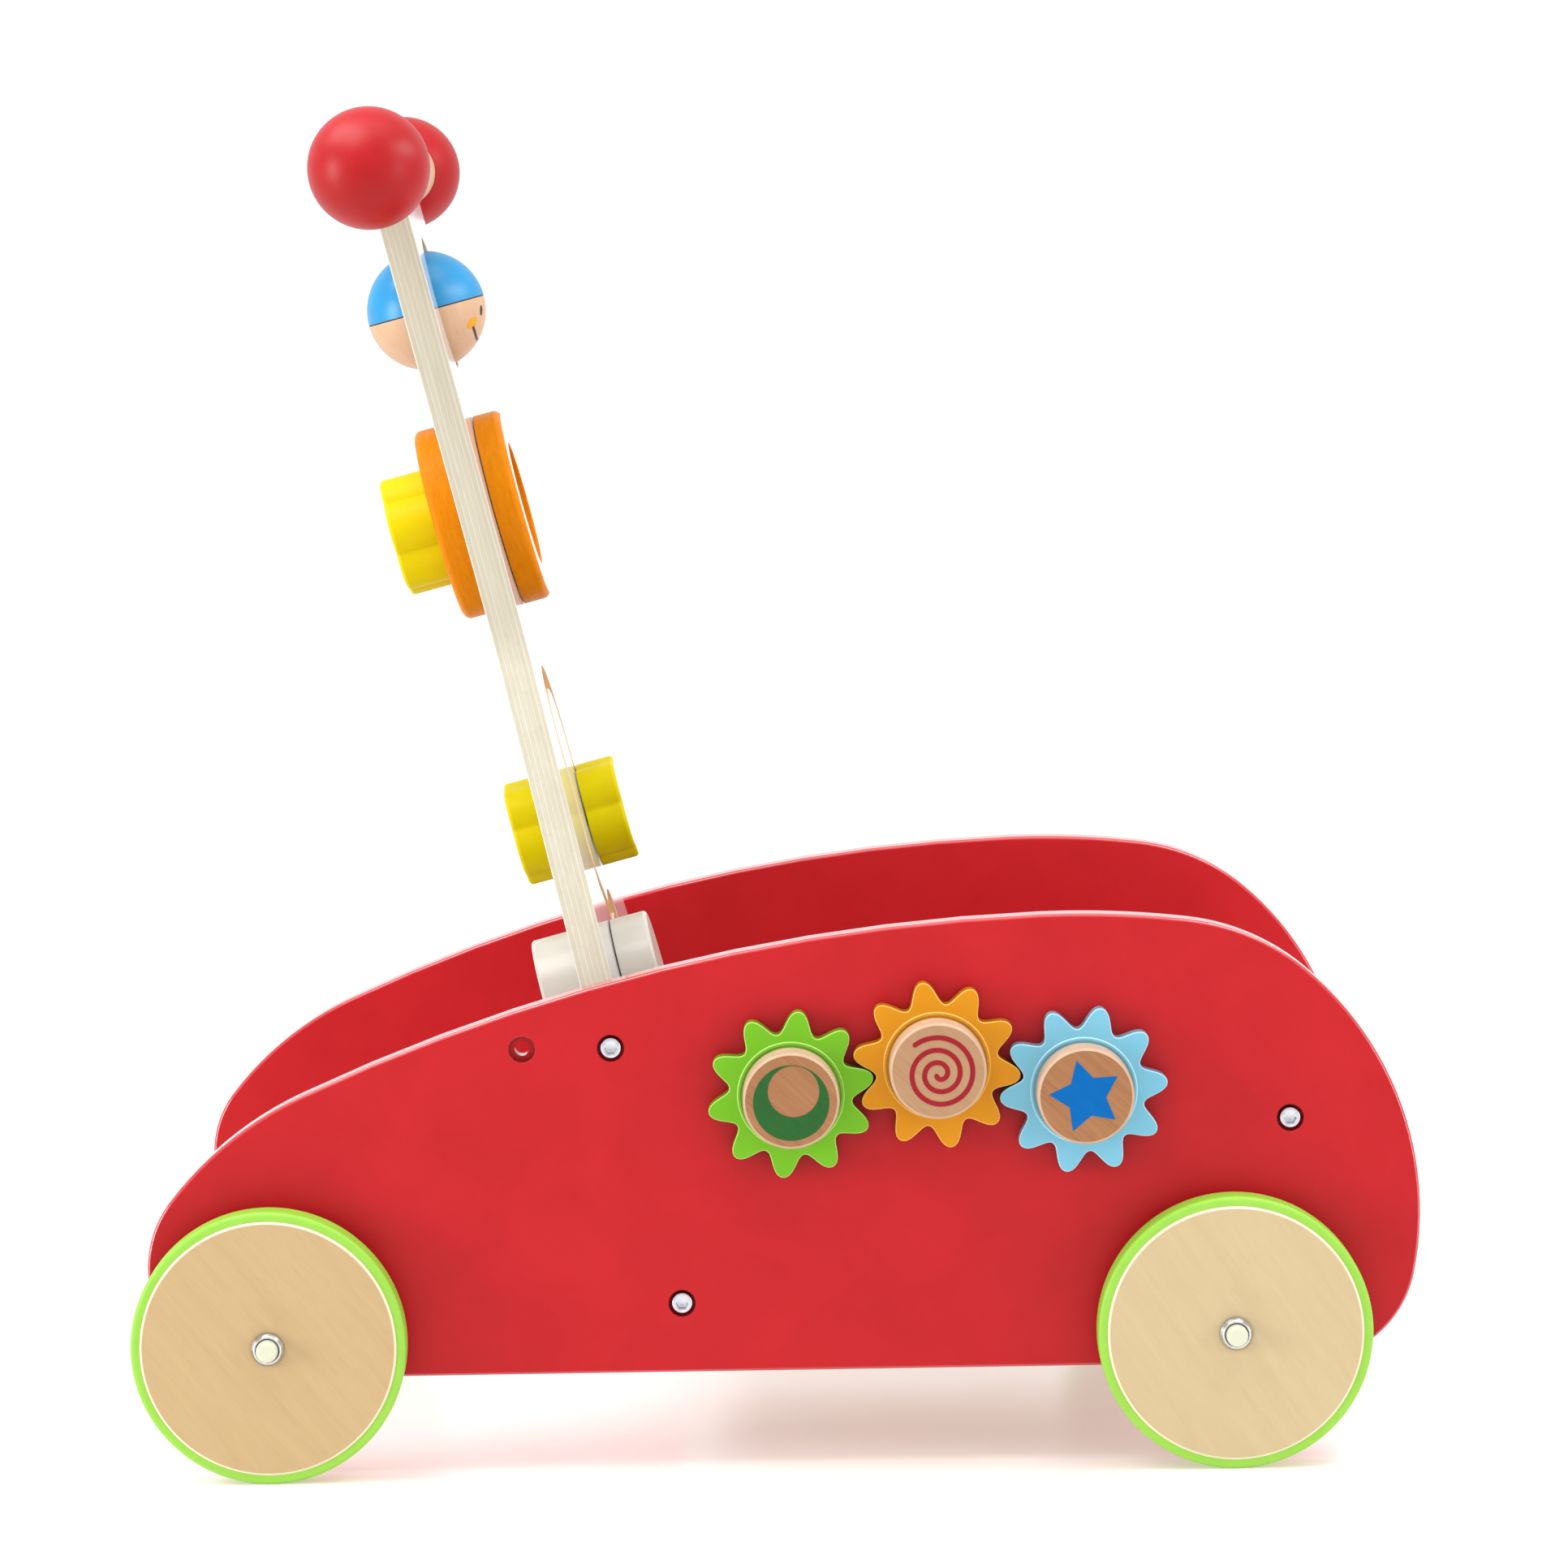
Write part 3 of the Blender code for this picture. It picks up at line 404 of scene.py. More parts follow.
def solid(name, points, faces):
    mesh = bpy.data.meshes.new(name)
    mesh.from_pydata([Vector(p) * MM for p in points], [], faces)
    shape = bmesh.new()
    shape.from_mesh(mesh)
    bmesh.ops.remove_doubles(shape, verts=shape.verts, dist=1e-7)
    bmesh.ops.recalc_face_normals(shape, faces=shape.faces)
    shape.to_mesh(mesh)
    shape.free()
    obj = bpy.data.objects.new(name, mesh)
    bpy.context.scene.collection.objects.link(obj)
    return obj


def turned(name, profile, count=96):
    """Turn (radius, height) or (radius, height, sides) points about Z."""
    points, faces, starts = [], [], []
    for radius, height, *sides in profile:
        starts.append((len(points), count if radius else 1))
        if not radius:
            points.append((0, 0, height))
            continue
        for i in range(count):
            angle = 2 * math.pi * i / count
            reach = radius
            if sides:
                half = math.pi / sides[0]
                reach *= math.cos(half) / math.cos(angle % (2 * half) - half)
            points.append((reach * math.cos(angle), reach * math.sin(angle), height))
    pairs = list(zip(starts, starts[1:]))
    if profile[0][0]:
        pairs.append((starts[-1], starts[0]))
    for (low, low_count), (high, high_count) in pairs:
        for i in range(count):
            j = (i + 1) % count
            corners = [low + i % low_count, low + j % low_count,
                       high + j % high_count, high + i % high_count]
            faces.append(tuple(dict.fromkeys(corners)))
    return solid(name, points, faces)


def levels(low, high, low_ease, high_ease, steps=4):
    """(inset, height) steps up an edge that is rounded at both ends."""
    rows = []
    for k in range(steps + 1):
        angle = math.pi / 2 * k / steps
        rows.append((low_ease * (1 - math.sin(angle)), low + low_ease * (1 - math.cos(angle))))
    for k in range(steps + 1):
        angle = math.pi / 2 * k / steps
        rows.append((high_ease * (1 - math.cos(angle)), high - high_ease * (1 - math.sin(angle))))
    return list(dict.fromkeys(rows))


def plate(name, *loops):
    """Flat piece bounded by (loop, levels): the outline first, then any holes."""
    points, faces, bottom, top = [], [], [], []
    for loop, rows in loops:
        count = len(loop)
        first = len(points)
        for inset, height in rows:
            points += [(x, y, height) for x, y in offset(loop, inset)]
        for k in range(len(rows) - 1):
            low = first + k * count
            for i in range(count):
                j = (i + 1) % count
                faces.append((low + i, low + j, low + count + j, low + count + i))
        bottom.append(range(first, first + count))
        top.append(range(len(points) - count, len(points)))
    for cap in (bottom, top):
        order = [i for loop in cap for i in loop]
        filled = geometry.tessellate_polygon([[Vector(points[i]) for i in loop] for loop in cap])
        faces += [tuple(order[i] for i in tri) for tri in filled]
    return solid(name, points, faces)


def block(name, node, ease, tongue=0):
    """A CAD box's rounded stand-in, without the tongues on its sides."""
    low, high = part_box(node)
    half = (high - low) / 2 / MM - Vector((0, tongue, 0))
    outline = soften([(-half.x, -half.y, ease), (half.x, -half.y, ease),
                      (half.x, half.y, ease), (-half.x, half.y, ease)])
    obj = plate(name, (outline, levels(-half.z, half.z, ease, ease)))
    obj.matrix_world = Matrix.Translation((low + high) / 2)
    return obj


# ---------------------------------------------------------------- finishes

def linear(rgb):
    """Linear colour from 0-255 display values."""
    out = []
    for value in rgb:
        value /= 255
        out.append(value / 12.92 if value <= 0.04045 else ((value + 0.055) / 1.055) ** 2.4)
    return (*out, 1.0)


class Finish:
    """One procedural material, its nodes built in order."""

    def __init__(self, name, coat, metal, coat_rough=0.08):
        self.material = bpy.data.materials.new(name)
        self.material.use_nodes = True
        self.tree = self.material.node_tree
        self.shader = self.tree.nodes["Principled BSDF"]
        self.shader.inputs["Coat Weight"].default_value = coat
        self.shader.inputs["Coat Roughness"].default_value = coat_rough
        self.shader.inputs["Metallic"].default_value = metal
        self.place = self.node("TexCoord").outputs["Object"]

    def node(self, kind, **inputs):
        made = self.tree.nodes.new("ShaderNode" + kind)
        for key, value in inputs.items():
            socket = made.inputs[int(key[1:])] if key[0] == "_" else made.inputs[key]
            self.set(socket, value)
        return made

    def set(self, socket, value):
        if isinstance(value, bpy.types.NodeSocket):
            self.tree.links.new(value, socket)
        else:
            socket.default_value = value

    def maths(self, operation, *values):
        made = self.tree.nodes.new("ShaderNodeMath")
        made.operation = operation
        for socket, value in zip(made.inputs, values):
            self.set(socket, value)
        return made.outputs[0]

    def noise(self, vector, scale, detail=3.0, rough=0.55, warp=0.0):
        made = self.node("TexNoise", Vector=vector, Scale=scale, Detail=detail, Roughness=rough,
                         Distortion=warp)
        return made.outputs["Fac"]

    def mapped(self, scale, turn):
        """Object coordinates turned about Z, then stretched."""
        turned_place = self.node("Mapping", Vector=self.place, Rotation=(0, 0, math.radians(turn)))
        return self.node("Mapping", Vector=turned_place.outputs[0], Scale=scale).outputs[0]

    def ramp(self, factor, stops):
        made = self.node("ValToRGB", Fac=factor)
        band = made.color_ramp
        while len(band.elements) < len(stops):
            band.elements.new(0.5)
        for element, (at, colour) in zip(band.elements, stops):
            element.position = at
            element.color = colour
        return made.outputs[0]

    def blend(self, factor, one, two, mode="MIX"):
        made = self.tree.nodes.new("ShaderNodeMix")
        made.data_type = "RGBA"
        made.blend_type = mode
        for socket, value in zip((made.inputs[0], made.inputs[6], made.inputs[7]),
                                 (factor, one, two)):
            self.set(socket, value)
        return made.outputs[2]


def finish(name, dark, light, rough, grain=(60, 60, 60), turn=0.0, spread=0.2, relief=0.1,
           fine=1400, pores=0.0, coat=0.0, metal=0.0, layers=0.0, gloss=0.25, rough_spread=0.12):
    """Colour runs dark to light along a stretched grain; layers adds plywood stripes in Z."""
    made = Finish(name, coat, metal)
    along = made.mapped(grain, turn)
    streaks = made.noise(along, 1.0, 5.0, 0.6, 0.6)
    dust = made.noise(made.place, fine, 2.0)
    cloud = made.noise(made.place, 9.0, 2.0)
    tone = made.maths("ADD", made.maths("MULTIPLY", streaks, 0.75),
                      made.maths("MULTIPLY", cloud, 0.25))
    colour = made.ramp(tone, [(0.5 - spread, linear(dark)), (0.5 + spread, linear(light))])
    height = made.maths("ADD", made.maths("MULTIPLY", streaks, 0.6),
                        made.maths("MULTIPLY", dust, 0.4))
    if layers:
        colour, height = add_layers(made, colour, height, layers)
    if pores:
        thin = made.mapped([g * 5 for g in grain], turn)
        lines = made.ramp(made.noise(thin, 1.0, 3.0), [(0.56, (0, 0, 0, 1)), (0.72, (1, 1, 1, 1))])
        amount = made.maths("MULTIPLY", lines, pores)
        colour = made.blend(amount, colour, linear([c * 0.72 for c in dark]))
        height = made.maths("SUBTRACT", height, made.maths("MULTIPLY", lines, 0.3))
    made.set(made.shader.inputs["Base Color"], colour)
    polish = made.node("MapRange", _0=cloud, _1=0.3, _2=0.7, _3=rough * (1 - rough_spread),
                       _4=rough * (1 + rough_spread))
    made.set(made.shader.inputs["Roughness"], polish.outputs[0])
    made.shader.inputs["Specular IOR Level"].default_value = gloss
    bump = made.node("Bump", Strength=relief, Distance=0.0006, Height=height)
    made.set(made.shader.inputs["Normal"], bump.outputs[0])
    return made.material


def add_layers(made, colour, height, thickness):
    """Plies that alternate in tone, with a thin dark glue line between them."""
    axis = made.node("SeparateXYZ", Vector=made.place).outputs[2]
    sway = made.maths("MULTIPLY", made.noise(made.place, 25.0, 1.0), 0.0004)
    ply = made.maths("DIVIDE", made.maths("ADD", axis, sway), thickness * MM)
    index = made.maths("FLOOR", ply)
    odd = made.maths("PINGPONG", index, 1.0)
    random = made.tree.nodes.new("ShaderNodeTexWhiteNoise")
    random.noise_dimensions = "1D"
    made.set(random.inputs["W"], index)
    shade = made.maths("ADD", made.maths("MULTIPLY", odd, 0.55),
                       made.maths("MULTIPLY", random.outputs[0], 0.45))
    dull = made.ramp(shade, [(0.1, linear((255, 255, 251))), (0.9, linear((244, 240, 230)))])
    colour = made.blend(1.0, colour, dull, "MULTIPLY")
    glue = made.ramp(made.maths("PINGPONG", ply, 0.5), [(0.0, (1, 1, 1, 1)), (0.22, (0, 0, 0, 1))])
    colour = made.blend(made.maths("MULTIPLY", glue, 0.5), colour, linear((164, 150, 126)))
    height = made.maths("SUBTRACT", height, made.maths("MULTIPLY", glue, 0.25))
    return colour, height


VENEER = (24, 230, 230)
PAINT = (40, 40, 40)
looks = {
    "red": finish("red_lacquer", (170, 13, 21), (181, 19, 27), 0.42, (30, 30, 30)),
    # The panels' edge faces are a lighter red, which is a painted highlight; their clear coat and gloss
    # belong to the lacquer.
    "red_edge_highlight": finish("red_edge_highlight", (176, 20, 28), (188, 30, 38), 0.3, (30, 30, 30), relief=0.04,
                       coat=1.0, gloss=0.5),
    "red_ball": finish("red_ball", (150, 8, 13), (162, 13, 20), 0.4, relief=0.2),
    "white": finish("white_lacquer", (202, 202, 199), (209, 209, 206), 0.14, (20, 20, 20), relief=0.04,
                    coat=0.3, gloss=0.5),
    "ply": finish("plywood_edge", (180, 176, 162), (190, 187, 174), 0.5, (220, 5, 220), layers=1.0,
                  pores=0.15, relief=0.2),
    "birch": finish("birch_face", (178, 151, 109), (189, 163, 121), 0.45, VENEER, 50, 0.3, 0.1,
                    pores=0.1),
    "birch_pale": finish("pale_birch_face", (184, 164, 125), (194, 176, 138), 0.45, VENEER, 55, 0.3, 0.1,
                         pores=0.08),
    "birch_edge": finish("birch_edge", (214, 205, 178), (224, 216, 192), 0.5, relief=0.15),
    "button": finish("button_face", (134, 86, 51), (168, 122, 84), 0.5, (16, 420, 420), 42, 0.3, 0.25,
                     pores=0.25),
    "button_pale": finish("pale_button_face", (156, 118, 84), (174, 138, 104), 0.5, (16, 420, 420), 42,
                          0.3, 0.25, pores=0.2),
    "button_edge": finish("button_edge", (176, 146, 118), (196, 168, 142), 0.5, (90, 90, 90), relief=0.2),
    "maple": finish("maple", (184, 146, 114), (200, 166, 134), 0.42, (120, 120, 14), spread=0.3,
                    relief=0.15, pores=0.15, gloss=0.35),
    "orange": finish("orange_stain", (194, 106, 0), (213, 131, 0), 0.4, (160, 160, 900), spread=0.25,
                     relief=0.2, pores=0.35, gloss=0.08),
    "orange_face": finish("orange_front", (196, 108, 0), (212, 129, 0), 0.2, PAINT, relief=0.04,
                          coat=1.0, gloss=0.5),
    "yellow": finish("yellow_paint", (198, 180, 0), (208, 192, 0), 0.42, (50, 50, 50), relief=0.12,
                     gloss=0.08),
    "yellow_face": finish("yellow_front", (198, 180, 0), (208, 192, 0), 0.2, PAINT, relief=0.04,
                          coat=1.0, gloss=0.5),
    "cream_paint": finish("cream_paint", (188, 183, 172), (198, 194, 183), 0.3, PAINT, relief=0.08,
                          gloss=0.4),
    "blue": finish("blue_paint", (0, 122, 176), (4, 134, 188), 0.36, relief=0.12, gloss=0.5),
    # Dark colour of the band between the head's halves, painted shade in the gap.
    "seam": finish("seam_shade", (60, 16, 24), (80, 26, 34), 0.5),
    "lime": finish("lime_rubber", (134, 190, 58), (144, 200, 68), 0.45, relief=0.12, gloss=0.4),
    "cream": finish("cream_plastic", (196, 200, 176), (208, 211, 188), 0.3, relief=0.05, gloss=0.5),
    "steel": finish("zinc_steel", (174, 178, 184), (216, 220, 225), 0.2, (300, 300, 300), relief=0.1,
                    metal=1.0, rough_spread=0.4, gloss=0.5),
    # Darker steel for steep walls, the hexagon socket above all: painted shade in the recess.
    "socket": finish("shaded_socket_steel", (70, 74, 80), (104, 108, 114), 0.35, (300, 300, 300), relief=0.1,
                     metal=1.0, gloss=0.5),
    "ink_blue": finish("blue_ink", (0, 88, 158), (0, 98, 168), 0.4, (90, 300, 300), 38, relief=0.15,
                       gloss=0.1),
    "ink_red": finish("crimson_ink", (134, 6, 22), (148, 12, 30), 0.4, (90, 300, 300), 38, relief=0.15),
    "ink_green": finish("green_ink", (16, 78, 20), (24, 90, 28), 0.3, (90, 300, 300), 38, relief=0.1,
                        gloss=0.3),
    "ink_dark": finish("dark_ink", (52, 34, 30), (70, 46, 40), 0.4, relief=0.05),
    "ink_cheek": finish("cheek_ink", (206, 140, 24), (214, 152, 34), 0.4, relief=0.05),
    "slot": finish("slot_wall", (214, 178, 132), (228, 196, 152), 0.5, relief=0.15),
}
GEAR_COLOURS = {
    "gear_green": ("green_plastic", (102, 171, 22)),
    "gear_orange": ("amber_plastic", (198, 130, 0)),
    "gear_blue": ("sky_plastic", (110, 176, 200)),
}
# Each gear colour gets a lit and a shaded copy. The paler rim look on rounded edges is a painted highlight,
# and the darker wall look on tooth sides is painted shade.
RIM_HIGHLIGHT = 0.3
WALL_SHADE = 0.86
for key, (kind, shade) in GEAR_COLOURS.items():
    pale = [c + RIM_HIGHLIGHT * (255 - c) for c in shade]
    shaded_tone = [c * WALL_SHADE for c in shade]
    for word, tone in (("", shade), ("_rim", pale), ("_wall", shaded_tone)):
        looks[key + word] = finish(kind + word, tone, [c + 6 for c in tone], 0.16, (30, 30, 30),
                                   relief=0.03, gloss=0.2)


def dress(obj, body, look, nodes=(), edge=None, flat=0.9, wall=None):
    """Finish a piece and fix it to its body.

    A face gets the edge look where its normal's Z is under flat, and wall under WALL_LEAN.
    """
    mesh = obj.data
    mesh.materials.clear()
    for key in (look, edge, wall):
        if key:
            mesh.materials.append(looks[key])
    for face in mesh.polygons:
        face.use_smooth = True
        lean = abs(face.normal.z)
        face.material_index = int(bool(edge) and lean < flat) + int(bool(wall) and lean < WALL_LEAN)
    mesh.set_sharp_from_angle(angle=math.radians(SHARP))
    weighted = obj.modifiers.new("weighted", "WEIGHTED_NORMAL")
    weighted.keep_sharp = True
    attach(obj, body)
    if nodes:
        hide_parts(*nodes)
    return obj


# ---------------------------------------------------------------- pieces

def build_panel(side):
    name = ("right", "left")[side == LEFT]
    rear = middle("rear_axle").x / MM
    outer = 1 if side == RIGHT else -1
    outline = panel_outline()
    if side == LEFT:
        outline = [(x, -z) for x, z in reversed(outline)]
    sink = SINK_RADIUS - BOLT_BORE
    rounding = 0.3 * SINK_EASE
    stepped = [(BORE_EASE, -PANEL), (0, -PANEL + BORE_EASE), (0, -SINK_DEPTH), (sink, -SINK_DEPTH),
               (sink, -SINK_EASE), (sink + rounding, -rounding), (sink + SINK_EASE, 0)]
    loops = [(outline, levels(-PANEL, 0, PANEL_EASE, PANEL_EASE, 5))]
    for place in ("board_upper", "board_lower", "wall_upper", "wall_lower"):
        at = middle(f"{name}_{place}_bolt") / MM
        loops.append((hole(BOLT_BORE, 32, (at.x - rear, outer * at.z)), stepped))
    loops.append((hole(BOLT_BORE, 32, (SPARE_HOLE[0], outer * SPARE_HOLE[1])), stepped))
    panel = plate(name + "_panel", *loops)
    turn = Matrix.Rotation(-side * math.pi / 2, 4, "X")
    panel.matrix_world = Matrix.Translation((rear * MM, side * HALF_WIDTH * MM, 0)) @ turn
    # Edge faces get the lighter red, a painted highlight.
    dress(panel, "walker", "red", [name + "_side_panel"], "red_edge_highlight")


def build_wagon():
    dress(block("wagon_floor", "floor_panel", 1.0, 3.0), "walker", "birch",
          ["floor_panel"], "birch_edge")
    dress(block("wagon_wall", "front_wall", 1.0), "walker", "white",
          ["front_wall"])


def build_bolts():
    """Round heads with a hexagon socket, whose floor is dished."""
    profile = soften([(0, -1), (BOLT_HEAD, -1), (BOLT_HEAD, BOLT_HIGH, BOLT_ROUND), (2.45, BOLT_HIGH)], 4)
    profile += [(BOLT_SOCKET, BOLT_HIGH - 0.1, 6), (BOLT_SOCKET, BOLT_SOCKET_FLOOR, 6), (1.2, 1.2), (0, 1.0)]
    for side, name in ((RIGHT, "right"), (LEFT, "left")):
        for place in ("board_upper", "board_lower", "wall_upper", "wall_lower"):
            node = f"{name}_{place}_bolt"
            bolt = turned(f"{name}_{place}_bolt_head", profile, 48)
            sunk = Matrix.Translation((0, 0, (BOLT_GAP - SINK_DEPTH) * MM))
            bolt.matrix_world = side_matrix(side, node) @ sunk
            # Near-vertical walls, the socket's among them, get the darker steel as painted shade.
            dress(bolt, "walker", "steel", [node], "socket", 0.35)


def build_board():
    half = BOARD / 2
    eased = levels(-half, half, BOARD_EASE, BOARD_EASE)
    loops = [(board_outline(), eased), (hole(WINDOW_RADIUS, 96, (0, WINDOW_UP)), eased)]
    for outline in track():
        area = sum(a[0] * b[1] - b[0] * a[1] for a, b in zip(outline, outline[1:] + outline[:1]))
        loops.append((outline[::-1] if area > 0 else outline, eased))
    board = plate("board", *loops)
    board.matrix_world = board_matrix()
    dress(board, "walker", "white", ["handle_board"], "ply", 0.72)
    board.data.materials.append(looks["slot"])
    for face in board.data.polygons:
        across, up = abs(face.center.x) / MM, face.center.y / MM
        inside = across < SLOT_FINISH_HALF and SLOT_FINISH_UP[0] < up < SLOT_FINISH_UP[1]
        if face.material_index == 1 and inside:
            face.material_index = 2


def build_handle():
    end = BALL_Y - BALL_FACE
    bar = turned("bar", soften([(0, -end), (BAR_RADIUS, -end, BAR_EASE), (BAR_RADIUS, end, BAR_EASE),
                                (0, end)]))
    bar.matrix_world = board_matrix(0, BAR_UP) @ Matrix.Rotation(math.pi / 2, 4, "Y")
    dress(bar, "walker", "maple", ["handle_bar"])
    start = -math.degrees(math.asin(BALL_FACE / BALL_RADIUS))
    for side, name in ((RIGHT, "right"), (LEFT, "left")):
        profile = [(0, -BALL_FACE)] + arc((0, 0), BALL_RADIUS, start, 90, 48)
        profile[-1] = (0, BALL_RADIUS)
        ball = turned(name + "_ball", profile, 128)
        turn = Matrix.Rotation(side * math.pi / 2, 4, "Y")
        ball.matrix_world = board_matrix(side * BALL_Y, BAR_UP) @ turn
        dress(ball, "walker", "red_ball", [name + "_handle_ball"])


def on_ball(obj, radius):
    """Wrap a flat mark, lying over XY, onto a ball."""
    for vertex in obj.data.vertices:
        x, y, lift = vertex.co / MM
        vertex.co.z = math.sqrt((radius + lift) ** 2 - x * x - y * y) * MM
    return obj


def spot(name, centre, size):
    """Flat oval; size is half its width and half its height."""
    profile = [(0, MARK_ROOT), (1, MARK_ROOT), (1, 0.07), (0.66, MARK_TOP), (0.33, MARK_TOP), (0, MARK_TOP)]
    mark = turned(name, profile, 32)
    for vertex in mark.data.vertices:
        vertex.co.x = (centre[0] + size[0] * vertex.co.x / MM) * MM
        vertex.co.y = (centre[1] + size[1] * vertex.co.y / MM) * MM
    return mark


def build_head():
    profile = [(SPINDLE_HOLE, SEAM), (HEAD_RADIUS - 0.2, SEAM)]
    start = math.degrees(math.asin((SEAM + 0.15) / HEAD_RADIUS))
    profile += arc((0, 0), HEAD_RADIUS, start, HEAD_ROUND_END, 40) + [(SPINDLE_HOLE, HEAD_FLAT)]
    centre = board_matrix(0, HEAD_UP)
    for name, node, look, slot, turn in (
            ("cap", "head_cap", "blue", "blue_wood", -1), ("face", "head_face", "maple", "beech", 1)):
        half = turned(name, profile, 128)
        half.matrix_world = centre @ Matrix.Rotation(turn * math.pi / 2, 4, "X")
        dress(half, "head", look, [node])
    # A dark band fills the gap between the halves as painted shade.
    rim = HEAD_RADIUS - SEAM_RECESS
    band = turned("seam", [(SEAM_INNER, -SEAM_SHADE), (rim, -SEAM_SHADE), (rim, SEAM_SHADE),
                           (SEAM_INNER, SEAM_SHADE)])
    band.matrix_world = centre @ Matrix.Rotation(math.pi / 2, 4, "X")
    dress(band, "head", "seam")
    smile = []
    for i in range(41):
        across = 2 * SMILE_HALF * (i / 40 - 0.5)
        smile.append((across, SMILE_LOW + SMILE_RISE * abs(across / SMILE_HALF) ** SMILE_CURVE))
    mouth = plate("smile", (strip(smile, SMILE_STROKE, 6), [(0, MARK_ROOT), (0, MARK_TOP)]))
    marks = [(mouth, "ink_dark")]
    for side, label in ((RIGHT, "right"), (LEFT, "left")):
        marks.append((spot(label + "_eye", (side * EYE_AT[0], EYE_AT[1]), EYE), "ink_dark"))
        marks.append((spot(label + "_cheek", (side * CHEEK_AT[0], CHEEK_AT[1]), CHEEK), "ink_cheek"))
    for mark, look in marks:
        on_ball(mark, HEAD_RADIUS).matrix_world = centre
        dress(mark, "head", look)


def build_spinner():
    face = BOARD / 2 + SPINNER_OFF
    top, floor = SPINNER_FRONT, SPINNER_FRONT - RECESS_DEPTH
    back = [(SPINNER_BORE, NEAR), (SPINNER_RADIUS, NEAR, BACK_EASE)]
    profile = soften([*back, (SPINNER_RADIUS, top, SPINNER_ROUND), (RECESS_RADIUS, top, 0.7),
                      (RECESS_RADIUS, floor, 0.5), (SPINNER_BORE, floor)], 6)
    front = turned("spinner_ring", profile, 160)
    front.matrix_world = board_matrix(0, SPINNER_UP, face)
    dress(front, "spinner", "orange_face", ["spinner_front_ring"], "orange", 0.98)
    top = SPINNER_REAR
    profile = soften([*back, (SPINNER_RADIUS, top, SPINNER_ROUND), (SPINNER_BORE, top)], 6)
    rear = turned("spinner_disc", profile, 160)
    rear.matrix_world = board_matrix(0, SPINNER_UP, -face, True)
    dress(rear, "spinner", "orange_face", ["spinner_rear_disc"], "orange", 0.98)
    rows = levels(1.6 * NEAR, KNOB, BACK_EASE, PETAL_ROUND, 6)
    knob = plate("knob", (petals(KNOB_TIP, KNOB_PETALS, KNOB_TURN), rows))
    knob.matrix_world = board_matrix(0, SPINNER_UP, -face - top - KNOB_OFF, True)
    dress(knob, "spinner", "yellow_face", ["flower_knob"], "yellow", 0.98)


def build_sliders():
    face = BOARD / 2 + SLIDER_OFF
    for half in ("front", "rear"):
        flip = half == "rear"
        out = -face if flip else face
        turn = 180 - FLOWER_TURN if flip else FLOWER_TURN
        rows = levels(NEAR, FLOWER[half], BACK_EASE, PETAL_ROUND, 6)
        flower = plate("flower_" + half, (petals(FLOWER_TIP, FLOWER_PETALS, turn), rows))
        flower.matrix_world = board_matrix(*FLOWER_AT, out, flip)
        dress(flower, "flower_slider", "yellow_face", ["flower_slider_" + half],
              "yellow", 0.98)
        top = ROUNDEL[half]
        profile = soften([(0, NEAR), (ROUNDEL_RADIUS, NEAR, BACK_EASE),
                          (ROUNDEL_RADIUS, top, ROUNDEL_ROUND), (0, top)], 6)
        round_half = turned("round_" + half, profile, 128)
        round_half.matrix_world = board_matrix(*ROUNDEL_AT, out, flip)
        dress(round_half, "round_slider", "cream_paint", ["round_slider_" + half])


def symbols():
    """Painted marks for the buttons, as plate loops."""
    rows = [(0, 0), (0, 0.08), (0.06, 0.1)]
    star = [around((0, 0), STAR_RADII[i % 2], STAR_TURN + 36 * i) for i in range(10)]
    line = []
    for i in range(221):
        turns = SPIRAL_TURNS * i / 220
        line.append(around(SPIRAL_AT, SPIRAL_RADIUS - SPIRAL_PITCH * turns, SPIRAL_START - 360 * turns))
    (outer, outer_at), (inner, inner_at) = CRESCENT_OUTER, CRESCENT_INNER
    return {
        "gear_blue": ("star", "ink_blue", [(star, rows)]),
        "gear_orange": ("spiral", "ink_red", [(strip(line, SPIRAL_STROKE), rows)]),
        "gear_green": ("crescent", "ink_green", [(ring(outer, 96, outer_at), rows),
                                                (hole(inner, 96, inner_at), rows)]),
    }


def build_gears():
    for node, (mark_name, ink, loops) in symbols().items():
        at = side_matrix(RIGHT, node + "_button")
        body = node.removeprefix("gear_") + "_gear"
        rows = levels(GEAR_LOW, GEAR_HIGH, 0.5, 0.6, 4)
        gear = plate(node + "_wheel", (gear_teeth(TOOTH_ANGLE[node]), rows))
        gear.matrix_world = at
        # Rounded edges get the paler copy, a painted highlight, and tooth sides get the darker copy, painted
        # shade.
        dress(gear, body, node, [node], node + "_rim", 0.96, node + "_wall")
        low, high = GEAR_HIGH - LIP_SINK, GEAR_HIGH + LIP_RISE
        bead = soften([(LIP[0], low), (LIP[1], low), (LIP[1], high, LIP_ROUND), (LIP[0], high, LIP_ROUND)], 5)
        lip = turned(node + "_lip", bead, 128)
        lip.matrix_world = at
        # The bead's rounded edge gets the painted highlight as well.
        dress(lip, body, node, (), node + "_rim", 0.96)
        high = BUTTON_HIGH
        profile = soften([(0, BUTTON_LOW), (BUTTON_RADIUS, BUTTON_LOW, 0.5),
                          (BUTTON_RADIUS, high - BUTTON_CHAMFER, 0.4),
                          (BUTTON_RADIUS - BUTTON_CHAMFER, high, 0.4), (0, high)], 4)
        button = turned(node + "_cap", profile, 128)
        button.matrix_world = at
        face_look = "button_pale" if node == "gear_orange" else "button"
        dress(button, body, face_look, [node + "_button"], "button_edge")
        mark = plate(mark_name, *loops)
        mark.matrix_world = at @ Matrix.Translation((0, 0, high * MM))
        dress(mark, body, ink)


